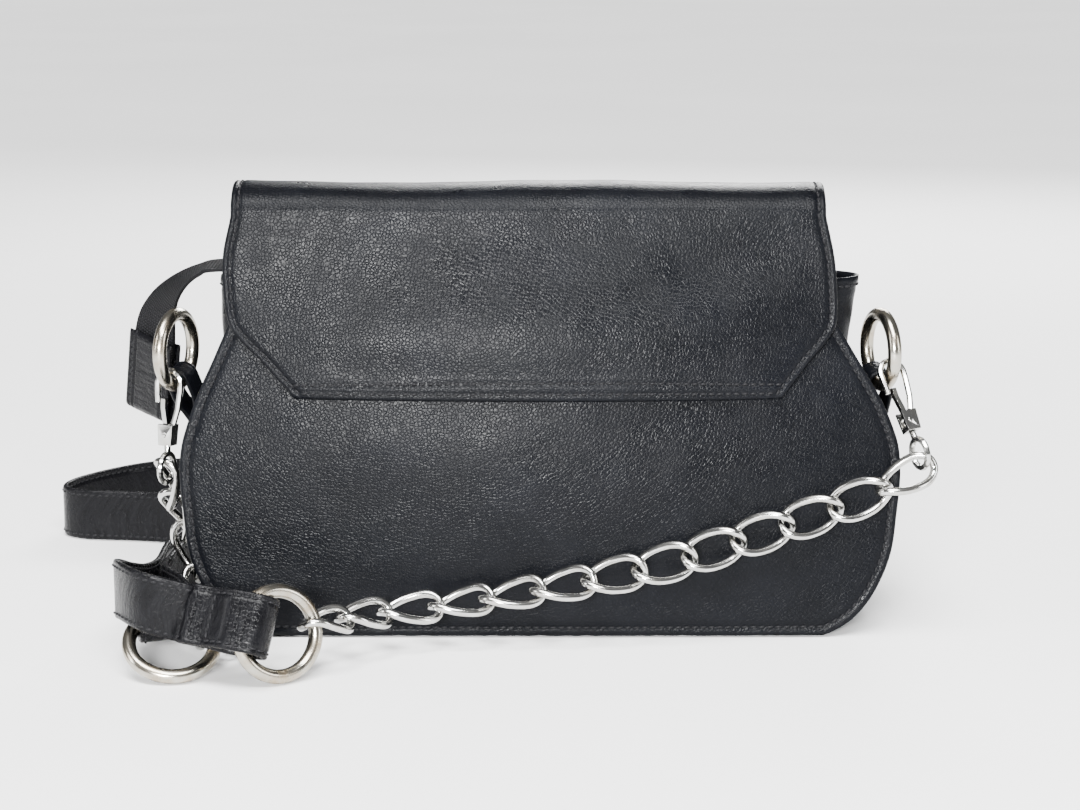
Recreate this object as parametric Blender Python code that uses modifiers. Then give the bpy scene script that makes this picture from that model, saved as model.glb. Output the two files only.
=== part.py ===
"""Small leather shoulder bag with a chain and leather strap, standing on its base.

X runs to the right, Y to the back and Z up. The origin is the middle of the
flat base, on the surface that the bag stands on.
"""
import math

import bmesh
import bpy
from mathutils import Matrix, Vector

MM = 0.001

# Bag body
BODY_WIDTH = 250 * MM
HALF_WIDTH = BODY_WIDTH / 2
PANEL_HEIGHT = 146 * MM
BASE_DEPTH = 60 * MM
TOP_DEPTH = 24 * MM
LEATHER = 2.0 * MM
FRONT_BULGE = 9.0 * MM
BACK_BULGE = 4.0 * MM
TOP_LEAN = -4.0 * MM
PANEL_LIFT = 0.8 * MM
SEAM_MARGIN = 5.0 * MM
GUSSET_THICKNESS = 1.8 * MM
GUSSET_TOP = 125 * MM
GUSSET_BULGE = 18 * MM
GAP = 0.35 * MM
FLANGE_SHY = 0.6 * MM

# Flap
FLAP_THICKNESS = 2.6 * MM
FLAP_WIDTH = 211 * MM
FLAP_RISE = 7 * MM
FLAP_DROP = 69 * MM
FLAP_BACK = 26 * MM

# Closure tape and its end tab
TAPE_THICKNESS = 1.2 * MM
TAPE_TAIL = 34 * MM
TAPE_LIFT = 1.0 * MM
END_TAB_LENGTH = 27 * MM
END_TAB_LEATHER = 1.6 * MM
END_TAB_OVERHANG = 0.8 * MM
END_TAB_START = 0.5 * MM

# Side rings, their tabs and the strap rings
RING_WIRE = 4.8 * MM
SIDE_RING_INNER = 20 * MM
STRAP_RING_INNER = 23.5 * MM
SIDE_RING_HEIGHT = 97 * MM
RIGHT_RING_OUT = HALF_WIDTH - 5.4 * MM
LEFT_RING_OUT = HALF_WIDTH + 2.7 * MM
SIDE_RING_Y = -2 * MM
RIGHT_RING_YAW = -74
LEFT_RING_YAW = -110
RING_TAB_WIDTH = 8 * MM
RING_TAB_LEATHER = 1.8 * MM
RING_TAB_FOOT = 69 * MM
RING_TAB_DEGREES = 250

# Snap hooks
HOOK_WIRE = 2.2 * MM
BOW_HALF_WIDTH = 4.5 * MM
BOW_HEIGHT = 22.8 * MM
BLOCK_WIDTH = 5.8 * MM
BLOCK_DEPTH = 5.0 * MM
BLOCK_HEIGHT = 7.4 * MM
RIVET_RADIUS = 0.9 * MM
GATE_THICKNESS = 1.6 * MM
GATE_WIDTH = 2.0 * MM
GATE_REACH = 12.6 * MM
GATE_ROOT = 1.75 * MM
HOOK_PIVOT = -0.35 * MM
EYE_INNER = 8.0 * MM
EYE_NECK = 2.0 * MM

# Chain links
LINK_WIRE = 2.8 * MM
LINK_LENGTH = 24.3 * MM
LINK_WIDTH = 14.6 * MM
LINK_TWIST = 42
HOLD_TWIST = 28
LINK_POINTS = 12
RIGHT_SLACK = 0.8 * MM
LEFT_SLACK = 1.4 * MM
LINK_PLAY = 0.6 * MM

# Leather strap
STRAP_WIDTH = 20 * MM
STRAP_THICKNESS = 2.2 * MM
STRAP_FOLD = 24 * MM
FLOOR_GAP = 0.35 * MM
FRONT_LOOP_DEGREES = 156
BACK_LOOP_DEGREES = 93

# Panel sections: height as a share of PANEL_HEIGHT, half width as a share of
# HALF_WIDTH, bulge as a share of the panel's bulge.
PANEL_SECTIONS = (
    {"height": 0.000, "half_width": 0.768, "bulge": 0.00},
    {"height": 0.014, "half_width": 0.816, "bulge": 0.06},
    {"height": 0.051, "half_width": 0.880, "bulge": 0.20},
    {"height": 0.116, "half_width": 0.936, "bulge": 0.42},
    {"height": 0.202, "half_width": 0.976, "bulge": 0.68},
    {"height": 0.295, "half_width": 0.991, "bulge": 0.88},
    {"height": 0.384, "half_width": 1.000, "bulge": 0.98},
    {"height": 0.452, "half_width": 0.995, "bulge": 1.00},
    {"height": 0.510, "half_width": 0.975, "bulge": 0.98},
    {"height": 0.575, "half_width": 0.944, "bulge": 0.93},
    {"height": 0.678, "half_width": 0.880, "bulge": 0.82},
    {"height": 0.788, "half_width": 0.816, "bulge": 0.62},
    {"height": 0.877, "half_width": 0.784, "bulge": 0.42},
    {"height": 0.945, "half_width": 0.755, "bulge": 0.25},
    {"height": 1.000, "half_width": 0.700, "bulge": 0.15},
)

# How far the gusset's middle stands out: height as a share of GUSSET_TOP,
# stand-out as a share of GUSSET_BULGE.
GUSSET_SECTIONS = (
    {"height": 0.00, "bulge": 0.00},
    {"height": 0.73, "bulge": 0.00},
    {"height": 0.80, "bulge": 0.22},
    {"height": 0.90, "bulge": 0.66},
    {"height": 1.00, "bulge": 1.00},
)

# Places across the gusset from its front fold to its back fold.
GUSSET_COLUMNS = (-1.0, -0.89, -0.70, -0.40, 0.0, 0.40, 0.70, 0.89, 1.0)

# Flap half width: distance down from the fold as a share of FLAP_DROP,
# half width as a share of half of FLAP_WIDTH.
FLAP_SECTIONS = (
    {"drop": -0.40, "half_width": 0.930},
    {"drop": 0.00, "half_width": 0.968},
    {"drop": 0.22, "half_width": 0.995},
    {"drop": 0.42, "half_width": 1.000},
    {"drop": 0.60, "half_width": 0.990},
    {"drop": 0.70, "half_width": 0.950},
    {"drop": 0.80, "half_width": 0.893},
    {"drop": 1.00, "half_width": 0.792},
)

# Tail of the closure tape beyond the gusset's rim: steps along X, Y and Z as
# shares of TAPE_TAIL, and the turn of its width about the vertical in degrees.
TAPE_SECTIONS = (
    {"out": 0.00, "back": 0.00, "down": 0.00, "turn": 0},
    {"out": 0.22, "back": 0.07, "down": 0.06, "turn": 6},
    {"out": 0.42, "back": 0.19, "down": 0.18, "turn": 16},
    {"out": 0.60, "back": 0.36, "down": 0.36, "turn": 27},
    {"out": 0.72, "back": 0.51, "down": 0.58, "turn": 37},
    {"out": 0.77, "back": 0.58, "down": 0.84, "turn": 43},
)
END_TAB_LEAN = {"out": 0.10, "back": 0.08, "down": 0.99}

# Chosen points of the right chain between its hook and the front strap ring:
# x as a share of HALF_WIDTH, stand-off from the panel and height as shares of
# PANEL_HEIGHT, roll in degrees from facing forward (0) to facing up (90).
RIGHT_CHAIN_ROUTE = (
    {"x": 0.965, "off": 0.058, "height": 0.378, "roll": 4},
    {"x": 0.842, "off": 0.040, "height": 0.331, "roll": 4},
    {"x": 0.560, "off": 0.036, "height": 0.252, "roll": 10},
    {"x": 0.330, "off": 0.042, "height": 0.194, "roll": 30},
    {"x": 0.060, "off": 0.058, "height": 0.151, "roll": 60},
    {"x": -0.206, "off": 0.066, "height": 0.112, "roll": 70},
    {"x": -0.315, "off": 0.080, "height": 0.102, "roll": 68},
    {"x": -0.453, "off": 0.125, "height": 0.100, "roll": 64},
)

# Chosen points of the left chain from its hook to the back strap ring: x and
# y as shares of HALF_WIDTH, height as a share of PANEL_HEIGHT.
LEFT_CHAIN_ROUTE = (
    {"x": -1.045, "y": 0.005, "height": 0.280},
    {"x": -1.018, "y": 0.050, "height": 0.190},
    {"x": -0.984, "y": 0.010, "height": 0.095},
    {"x": -0.960, "y": -0.090, "height": 0.053},
    {"x": -0.957, "y": -0.190, "height": 0.048},
    {"x": -0.944, "y": -0.270, "height": 0.048},
    {"x": -0.886, "y": -0.356, "height": 0.048},
    {"x": -0.850, "y": -0.445, "height": 0.052},
)

# Chosen points of the leather strap from the front strap ring round the back
# to the back strap ring: x and y as shares of HALF_WIDTH, lift above the
# floor as a share of STRAP_WIDTH, stand 1 on its edge and 0 flat.
STRAP_ROUTE = (
    {"x": -1.048, "y": -0.620, "lift": 0.84, "stand": 1.0},
    {"x": -1.124, "y": -0.510, "lift": 0.84, "stand": 1.0},
    {"x": -1.138, "y": -0.400, "lift": 0.66, "stand": 1.0},
    {"x": -1.130, "y": -0.290, "lift": 0.42, "stand": 1.0},
    {"x": -1.110, "y": -0.150, "lift": 0.16, "stand": 1.0},
    {"x": -1.094, "y": 0.000, "lift": 0.02, "stand": 1.0},
    {"x": -1.092, "y": 0.200, "lift": 0.00, "stand": 1.0},
    {"x": -1.058, "y": 0.390, "lift": 0.00, "stand": 1.0},
    {"x": -1.040, "y": 0.540, "lift": 0.00, "stand": 1.0},
    {"x": -1.070, "y": 0.680, "lift": 0.00, "stand": 1.0},
    {"x": -1.160, "y": 0.770, "lift": 0.00, "stand": 1.0},
    {"x": -1.300, "y": 0.805, "lift": 0.00, "stand": 1.0},
    {"x": -1.440, "y": 0.825, "lift": 0.00, "stand": 1.0},
    {"x": -1.512, "y": 0.880, "lift": 0.00, "stand": 1.0},
    {"x": -1.500, "y": 0.980, "lift": 0.00, "stand": 1.0},
    {"x": -1.410, "y": 1.110, "lift": 0.00, "stand": 1.0},
    {"x": -1.290, "y": 1.215, "lift": 0.00, "stand": 1.0},
    {"x": -1.120, "y": 1.290, "lift": 0.00, "stand": 1.0},
    {"x": -0.940, "y": 1.290, "lift": 0.00, "stand": 1.0},
    {"x": -0.790, "y": 1.210, "lift": 0.00, "stand": 1.0},
    {"x": -0.720, "y": 1.060, "lift": 0.00, "stand": 1.0},
    {"x": -0.730, "y": 0.860, "lift": 0.00, "stand": 1.0},
    {"x": -0.790, "y": 0.660, "lift": 0.00, "stand": 1.0},
    {"x": -0.880, "y": 0.500, "lift": 0.00, "stand": 1.0},
    {"x": -0.975, "y": 0.360, "lift": 0.00, "stand": 1.0},
    {"x": -1.045, "y": 0.200, "lift": 0.00, "stand": 1.0},
    {"x": -1.066, "y": 0.030, "lift": 0.00, "stand": 1.0},
    {"x": -1.067, "y": -0.060, "lift": 0.02, "stand": 1.0},
    {"x": -1.054, "y": -0.150, "lift": 0.08, "stand": 0.85},
    {"x": -1.034, "y": -0.240, "lift": 0.22, "stand": 0.60},
    {"x": -1.016, "y": -0.300, "lift": 0.32, "stand": 0.32},
)

UP = Vector((0, 0, 1))


def start_empty():
    for item in list(bpy.data.objects):
        bpy.data.objects.remove(item, do_unlink=True)


def collection(name):
    made = bpy.data.collections.new(name)
    bpy.context.scene.collection.children.link(made)
    return made


def material(name, colour, roughness, metallic):
    made = bpy.data.materials.new(name)
    made.use_nodes = True
    shader = made.node_tree.nodes["Principled BSDF"]
    shader.inputs["Base Color"].default_value = (*colour, 1)
    shader.inputs["Roughness"].default_value = roughness
    shader.inputs["Metallic"].default_value = metallic
    return made


def smoothstep(value):
    share = min(max(value, 0.0), 1.0)
    return share * share * (3 - 2 * share)


def read_table(table, key, at, column):
    """Value of a column at a place along the table, eased between its rows."""
    rows = list(table)
    if at <= rows[0][key]:
        return rows[0][column]
    for index in range(len(rows) - 1):
        low, high = rows[index], rows[index + 1]
        if at <= high[key]:
            before = rows[max(index - 1, 0)]
            after = rows[min(index + 2, len(rows) - 1)]
            span = high[key] - low[key]
            share = (at - low[key]) / span
            slope_low = (high[column] - before[column]) / (high[key] - before[key])
            slope_high = (after[column] - low[column]) / (after[key] - low[key])
            square, cube = share * share, share ** 3
            return ((2 * cube - 3 * square + 1) * low[column]
                    + (cube - 2 * square + share) * span * slope_low
                    + (3 * square - 2 * cube) * high[column]
                    + (cube - square) * span * slope_high)
    return rows[-1][column]


def smooth_route(points, steps):
    """Points on a smooth curve through the given ones, `steps` to a span."""
    result = []
    last = len(points) - 1
    for index in range(last):
        before = points[max(index - 1, 0)]
        low, high = points[index], points[index + 1]
        after = points[min(index + 2, last)]
        for step in range(steps):
            share = step / steps
            result.append(0.5 * ((2 * low) + (high - before) * share
                                 + (2 * before - 5 * low + 4 * high - after) * share ** 2
                                 + (3 * low - before - 3 * high + after) * share ** 3))
    result.append(points[last].copy())
    return result


# Surfaces of the body

def half_width_at(z):
    return HALF_WIDTH * read_table(PANEL_SECTIONS, "height", z / PANEL_HEIGHT, "half_width")


def lean_at(z):
    return TOP_LEAN * smoothstep((z / PANEL_HEIGHT - 0.45) / 0.5)


def half_depth_at(z):
    share = min(max(z / PANEL_HEIGHT, 0.0), 1.0)
    return BASE_DEPTH / 2 + (TOP_DEPTH - BASE_DEPTH) / 2 * share


def bulge_at(x, z):
    """Share of the full bulge at a point of a panel, nothing past its edge."""
    across = (x - lean_at(z)) / half_width_at(z)
    if abs(across) >= 1:
        return 0.0
    return (1 - across * across) ** 1.2 * read_table(
        PANEL_SECTIONS, "height", z / PANEL_HEIGHT, "bulge")


def front_y(x, z):
    return -half_depth_at(z) - FRONT_BULGE * bulge_at(x, z)


def back_y(x, z):
    return half_depth_at(z) + BACK_BULGE * bulge_at(x, z)


# Building helpers

def add_mesh(name, target, skin, verts, faces):
    mesh = bpy.data.meshes.new(name)
    mesh.from_pydata([tuple(point) for point in verts], [], faces)
    mesh.update()
    made = bpy.data.objects.new(name, mesh)
    target.objects.link(made)
    made.data.materials.append(skin)
    return made


def sheet(name, target, skin, rows, thickness):
    """A leather sheet from rows of points on its middle surface."""
    verts = [point for row in rows for point in row]
    count = len(rows[0])
    faces = []
    for row in range(len(rows) - 1):
        for column in range(count - 1):
            first = row * count + column
            faces.append((first, first + 1, first + count + 1, first + count))
    made = add_mesh(name, target, skin, verts, faces)
    thicken(made, thickness)
    return made


def thicken(item, thickness):
    solid = item.modifiers.new("thickness", "SOLIDIFY")
    solid.thickness = thickness
    solid.offset = 0
    solid.use_even_offset = True
    item.data.shade_smooth()


def band(name, target, skin, rows, width, thickness):
    """A strap from rows of (centre, direction across it)."""
    edges = [(centre - across * width / 2, centre + across * width / 2)
             for centre, across in rows]
    return sheet(name, target, skin, edges, thickness)


def wire(name, target, skin, points, radius, resolution, closed=False):
    curve = bpy.data.curves.new(name, "CURVE")
    curve.dimensions = "3D"
    curve.bevel_depth = radius
    curve.bevel_resolution = resolution
    curve.use_fill_caps = not closed
    spline = curve.splines.new("POLY")
    spline.points.add(len(points) - 1)
    for place, point in zip(spline.points, points):
        place.co = (*point, 1)
    spline.use_cyclic_u = closed
    made = bpy.data.objects.new(name, curve)
    target.objects.link(made)
    curve.materials.append(skin)
    return made


def as_mesh(item, target):
    """The same shape as a mesh object, with its caps welded."""
    shape = item.evaluated_get(bpy.context.evaluated_depsgraph_get())
    mesh = bpy.data.meshes.new_from_object(shape)
    work = bmesh.new()
    work.from_mesh(mesh)
    bmesh.ops.remove_doubles(work, verts=work.verts, dist=0.00001)
    work.to_mesh(mesh)
    work.free()
    name = item.name
    place = item.matrix_world.copy()
    item.name = name + "_curve"
    made = bpy.data.objects.new(name, mesh)
    made.matrix_world = place
    target.objects.link(made)
    bpy.data.objects.remove(item, do_unlink=True)
    return made


def boolean(item, other, operation, cutters):
    """Join or cut `item` with `other`, which goes to the cutters."""
    for old in list(other.users_collection):
        old.objects.unlink(other)
    cutters.objects.link(other)
    other.hide_render = True
    other.display_type = "WIRE"
    step = item.modifiers.new(operation.lower(), "BOOLEAN")
    step.operation = operation
    step.solver = "EXACT"
    step.object = other


def cylinder(name, target, radius, length, sides, place):
    bpy.ops.mesh.primitive_cylinder_add(vertices=sides, radius=radius, depth=length)
    made = bpy.context.object
    made.name = name
    made.matrix_world = place
    move_to(made, target)
    return made


def box(name, target, low, high, place):
    bpy.ops.mesh.primitive_cube_add(size=1)
    made = bpy.context.object
    made.name = name
    size = high - low
    middle = (low + high) / 2
    made.data.transform(Matrix.Translation(middle) @ Matrix.Diagonal((*size, 1)))
    made.matrix_world = place
    move_to(made, target)
    return made


def move_to(item, target):
    for old in list(item.users_collection):
        old.objects.unlink(item)
    target.objects.link(item)


# Body

def panel_rows(surface, side):
    """Middle surface of a panel: rows up its height, columns across it."""
    heights = [row["height"] for row in PANEL_SECTIONS]
    extra = [(a + b) / 2 for a, b in zip(heights, heights[1:]) if b - a > 0.08]
    rows = []
    for share in sorted(heights + extra):
        z = max(share * PANEL_HEIGHT, PANEL_LIFT)
        row = []
        for step in range(11):
            across = math.sin((step / 10 - 0.5) * math.pi)
            x = lean_at(z) + half_width_at(z) * across
            row.append(Vector((x, surface(x, z) + side * LEATHER / 2, z)))
        rows.append(row)
    return rows


def make_panels(target, leather):
    sheet("front_panel", target, leather, panel_rows(front_y, 1), LEATHER)
    sheet("back_panel", target, leather, panel_rows(back_y, -1), LEATHER)


def outline():
    """Panel outline from the left end of the gusset round to the right end."""
    heights = [row["height"] * PANEL_HEIGHT for row in PANEL_SECTIONS]
    heights = [z for z in heights if z < GUSSET_TOP - 4 * MM] + [GUSSET_TOP]
    heights += [(heights[-1] + heights[-2]) / 2, (heights[-2] + heights[-3]) / 2]
    heights.sort()
    right = [Vector((half_width_at(z), 0, z)) for z in heights]
    left = [Vector((-point.x, 0, point.z)) for point in reversed(right)]
    flat = half_width_at(0)
    middle = [Vector((flat * share, 0, 0)) for share in (-0.6, -0.2, 0.2, 0.6)]
    return left + middle + right


def gusset_bulge(z):
    return GUSSET_BULGE * read_table(GUSSET_SECTIONS, "height", z / GUSSET_TOP, "bulge")


def margin_at(z):
    return SEAM_MARGIN * smoothstep(z / (0.2 * PANEL_HEIGHT))


def gusset_arch(across):
    """Share of the bulge at a place across the gusset, from -1 to 1."""
    return math.sqrt(max(1 - across * across, 0.0))


def gusset_side(z, across):
    """How far out from the body's middle the gusset's outer face lies."""
    return half_width_at(z) - margin_at(z) + gusset_bulge(z) * gusset_arch(across)


def web_depth(z):
    """Half the width of the gusset between its two folds."""
    return half_depth_at(z) - LEATHER - GAP - GUSSET_THICKNESS / 2


def gusset_row(point, outward):
    """Middle surface of the gusset at a point of the outline, flanges included."""
    side = math.copysign(1, point.x) if point.z > 0 else 0
    seam = point - outward * (margin_at(point.z) + GUSSET_THICKNESS / 2)
    share = gusset_bulge(point.z) / GUSSET_BULGE
    row = []
    for across in GUSSET_COLUMNS:
        arch = gusset_arch(across)
        lean = lean_at(point.z) * (1 - share * arch)
        stand = side * gusset_bulge(point.z) * arch
        row.append(seam + Vector((stand + lean, across * web_depth(point.z), 0)))
    flange = outward * (margin_at(point.z) - FLANGE_SHY)
    return [row[0] + flange] + row + [row[-1] + flange]


def make_gusset(target, leather):
    points = outline()
    verts = []
    flanged = []
    for index, point in enumerate(points):
        before = points[max(index - 1, 0)]
        after = points[min(index + 1, len(points) - 1)]
        along = (after - before).normalized()
        outward = Vector((along.z, 0, -along.x))
        if point.z == 0:
            outward = Vector((0, 0, -1))
        verts += gusset_row(point, outward)
        flanged.append(margin_at(point.z) > 0.5 * SEAM_MARGIN
                       and gusset_bulge(point.z) < 0.2 * GUSSET_BULGE)
    count = len(GUSSET_COLUMNS) + 2
    faces = []
    for row in range(len(points) - 1):
        for column in range(count - 1):
            on_flange = column in (0, count - 2)
            if on_flange and not (flanged[row] and flanged[row + 1]):
                continue
            first = row * count + column
            faces.append((first, first + 1, first + count + 1, first + count))
    gusset = add_mesh("gusset", target, leather, verts, faces)
    work = bmesh.new()
    work.from_mesh(gusset.data)
    loose = [vert for vert in work.verts if not vert.link_faces]
    bmesh.ops.delete(work, geom=loose, context="VERTS")
    work.to_mesh(gusset.data)
    work.free()
    thicken(gusset, GUSSET_THICKNESS)


def flap_profile():
    """Rows of the flap: height, place from back (+1) over the top to front (-1)."""
    rows = []
    for share in (1.0, 0.5):
        rows.append({"drop": -0.4 * share, "z": PANEL_HEIGHT - FLAP_BACK * share, "arc": None})
    for degrees in (0, 30, 60, 90, 120, 150, 180):
        rows.append({"drop": 0.0, "z": PANEL_HEIGHT, "arc": math.radians(degrees)})
    for share in (0.1, 0.22, 0.34, 0.46, 0.54, 0.6, 0.66, 0.73, 0.8, 0.9, 1.0):
        rows.append({"drop": share, "z": PANEL_HEIGHT - (FLAP_DROP - FLAP_RISE) * share,
                     "arc": None})
    return rows


def flap_clear():
    return GAP + FLAP_THICKNESS / 2


def flap_point(row, across):
    half = FLAP_WIDTH / 2 * read_table(FLAP_SECTIONS, "drop", row["drop"], "half_width")
    x = lean_at(row["z"]) + half * across
    front = front_y(x, row["z"]) - flap_clear()
    back = back_y(x, row["z"]) + flap_clear()
    if row["arc"] is not None:
        middle, radius = (front + back) / 2, (back - front) / 2
        rise = flap_clear() + FLAP_RISE
        return Vector((x, middle + radius * math.cos(row["arc"]),
                       row["z"] + rise * math.sin(row["arc"])))
    if row["drop"] < 0:
        return Vector((x, back, row["z"]))
    return Vector((x, front, row["z"]))


def make_flap(target, leather):
    rows = [[flap_point(row, math.sin((step / 10 - 0.5) * math.pi)) for step in range(11)]
            for row in flap_profile()]
    sheet("flap", target, leather, rows, FLAP_THICKNESS)


# Closure tape with its tail, and the tab at its end

def tape_width():
    return 2 * (half_depth_at(GUSSET_TOP) - LEATHER - 2 * GAP)


def tape_rows():
    height = GUSSET_TOP + TAPE_LIFT + TAPE_THICKNESS / 2
    across = Vector((0, 1, 0))
    reach = 0.72 * HALF_WIDTH
    rim = -gusset_side(GUSSET_TOP, 0)
    rows = []
    for share in (1.0, 0.5, 0.0, -0.5, -0.9):
        rows.append((Vector((lean_at(height) + reach * share, 0, height)), across))
    for row in TAPE_SECTIONS:
        place = Vector((rim - row["out"] * TAPE_TAIL, row["back"] * TAPE_TAIL,
                        height - row["down"] * TAPE_TAIL))
        turn = math.radians(row["turn"])
        rows.append((place, Vector((-math.sin(turn), math.cos(turn), 0))))
    return rows


def fold_path(start, along, facing, length, spread, steps):
    """A path out along `along`, round a half turn and back, `spread` apart."""
    first = [start + facing * spread / 2, start + facing * spread / 2 + along * length]
    centre = start + along * length
    turn = []
    for step in range(1, steps):
        angle = math.pi * step / steps
        turn.append(centre + facing * math.cos(angle) * spread / 2
                    + along * math.sin(angle) * spread / 2)
    second = [start - facing * spread / 2 + along * length, start - facing * spread / 2]
    return first + turn + second


def make_tape(target, cloth, leather):
    rows = tape_rows()
    width = tape_width()
    end, across = rows[-1]
    along = Vector((-END_TAB_LEAN["out"], END_TAB_LEAN["back"],
                    -END_TAB_LEAN["down"])).normalized()
    across = (across - along * across.dot(along)).normalized()
    facing = along.cross(across).normalized()
    overlap = 0.2 * END_TAB_LENGTH
    rows[-1] = (end, across)
    rows.append((end + along * overlap, across))
    band("zip_tape", target, cloth, rows, width, TAPE_THICKNESS)
    spread = TAPE_THICKNESS + 2 * GAP + END_TAB_LEATHER
    path = fold_path(end + along * END_TAB_START, along, facing, END_TAB_LENGTH, spread, 4)
    band("zip_end_tab", target, leather, [(point, across) for point in path],
         width + 2 * END_TAB_OVERHANG, END_TAB_LEATHER)


# Rings

def ring_frame(centre, yaw, lean):
    """Centre with the ring's own right, up and normal directions."""
    turn, tip = math.radians(yaw), math.radians(lean)
    right = Vector((math.cos(turn), math.sin(turn), 0))
    back = Vector((-math.sin(turn), math.cos(turn), 0))
    up = UP * math.cos(tip) + back * math.sin(tip)
    return {"centre": centre, "right": right, "up": up, "normal": right.cross(up)}


def ring_point(frame, inner, degrees):
    """A point on the middle of the ring's wire, and the wire's direction there."""
    angle = math.radians(degrees)
    radius = (inner + RING_WIRE) / 2
    place = frame["centre"] + (frame["right"] * math.cos(angle)
                               + frame["up"] * math.sin(angle)) * radius
    along = frame["up"] * math.cos(angle) - frame["right"] * math.sin(angle)
    return place, along


def ring_on_floor(x, y, yaw, lean, inner):
    radius = (inner + RING_WIRE) / 2
    height = radius * math.cos(math.radians(lean)) + RING_WIRE / 2 + FLOOR_GAP
    return ring_frame(Vector((x, y, height)), yaw, lean)


def make_ring(name, target, metal, frame, inner):
    bpy.ops.mesh.primitive_torus_add(
        major_segments=20, minor_segments=8,
        major_radius=(inner + RING_WIRE) / 2, minor_radius=RING_WIRE / 2)
    ring = bpy.context.object
    ring.name = name
    move_to(ring, target)
    ring.matrix_world = axes_matrix(frame["centre"], frame["right"], frame["up"],
                                    frame["normal"])
    ring.data.materials.append(metal)
    ring.data.shade_smooth()
    return ring


def axes_matrix(origin, x_axis, y_axis, z_axis):
    place = Matrix((x_axis, y_axis, z_axis)).transposed().to_4x4()
    place.translation = origin
    return place


def side_ring(side):
    out = RIGHT_RING_OUT if side > 0 else LEFT_RING_OUT
    yaw = RIGHT_RING_YAW if side > 0 else LEFT_RING_YAW
    return ring_frame(Vector((side * out, SIDE_RING_Y, SIDE_RING_HEIGHT)), yaw, 0)


def make_ring_tab(name, target, leather, side):
    """A folded tab from the gusset up through the ring, over its lower wire."""
    frame = side_ring(side)
    top, across = ring_point(frame, SIDE_RING_INNER, RING_TAB_DEGREES)
    inner = SIDE_RING_INNER / 2
    sag = inner - math.sqrt(inner ** 2 - (RING_TAB_WIDTH / 2) ** 2)
    foot = Vector((0, 0, RING_TAB_FOOT))
    foot.x = side * (gusset_side(RING_TAB_FOOT, 1) + 1.5 * GAP + RING_TAB_LEATHER)
    span = top - foot
    foot.y = (span.x * across.x + span.z * across.z) / across.y + top.y
    along = (top - foot).normalized()
    facing = across.cross(along).normalized()
    length = (top - foot).length
    loop = RING_WIRE / 2 + 1.8 * GAP + RING_TAB_LEATHER / 2
    near = (RING_TAB_LEATHER + GAP) / 2
    out_path = []
    back_path = []
    for share in (0.0, 0.25, 0.45, 0.62, 0.78, 0.95):
        spread = near + (loop - near) * smoothstep((share - 0.05) / 0.70)
        out_path.append(foot + along * length * share + facing * spread)
        back_path.append(foot + along * length * share - facing * spread)
    crest = top + along * sag
    turn = [crest + facing * loop * math.cos(math.pi * step / 6)
            + along * loop * math.sin(math.pi * step / 6) for step in range(7)]
    path = out_path + turn + list(reversed(back_path))
    return band(name, target, leather, [(point, across) for point in path],
                RING_TAB_WIDTH, RING_TAB_LEATHER)


# Snap hooks

def hook_frame(side):
    """Rivet centre and axes of a hook that hangs from its side ring."""
    degrees = -32 if side > 0 else -62
    up = Vector((-0.28, 0.46, 0.84)) if side > 0 else Vector((0.05, 0.06, 1.0))
    up.normalize()
    frame = side_ring(side)
    hang, along = ring_point(frame, SIDE_RING_INNER, degrees)
    across = along.cross(up).normalized()
    if across.x < 0:
        across = -across
    normal = across.cross(up).normalized()
    slant = abs(along.dot(normal))
    reach = RING_WIRE / 2 / slant + HOOK_WIRE / 2 * abs(along.dot(up)) / slant
    drop = BOW_HEIGHT - HOOK_WIRE / 2 - GAP - reach
    return {"rivet": hang - up * drop, "across": across, "up": up, "normal": normal}


def hook_matrix(frame):
    return axes_matrix(frame["rivet"], frame["across"], -frame["normal"], frame["up"])


def bow_points():
    """Middle of the bow's wire in the hook's own plane, block to nose."""
    top = BOW_HEIGHT - BOW_HALF_WIDTH
    points = [Vector((BLOCK_WIDTH / 2 - 0.9 * MM, 0, 0.30 * BLOCK_HEIGHT)),
              Vector((BLOCK_WIDTH / 2 - 0.6 * MM, 0, 0.60 * BLOCK_HEIGHT)),
              Vector((0.80 * BOW_HALF_WIDTH, 0, 0.50 * top)),
              Vector((0.97 * BOW_HALF_WIDTH, 0, 0.85 * top))]
    for step in range(9):
        angle = math.pi * step / 8
        points.append(Vector((BOW_HALF_WIDTH * math.cos(angle), 0,
                              top + BOW_HALF_WIDTH * math.sin(angle))))
    points.append(Vector((-0.97 * BOW_HALF_WIDTH, 0, 0.80 * top)))
    points.append(Vector((-0.90 * BOW_HALF_WIDTH, 0, GATE_REACH - 1.4 * MM)))
    return points


def gate_tip_x():
    nose_inner = -0.90 * BOW_HALF_WIDTH + HOOK_WIRE / 2
    return nose_inner + GAP + GATE_THICKNESS / 2


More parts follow.
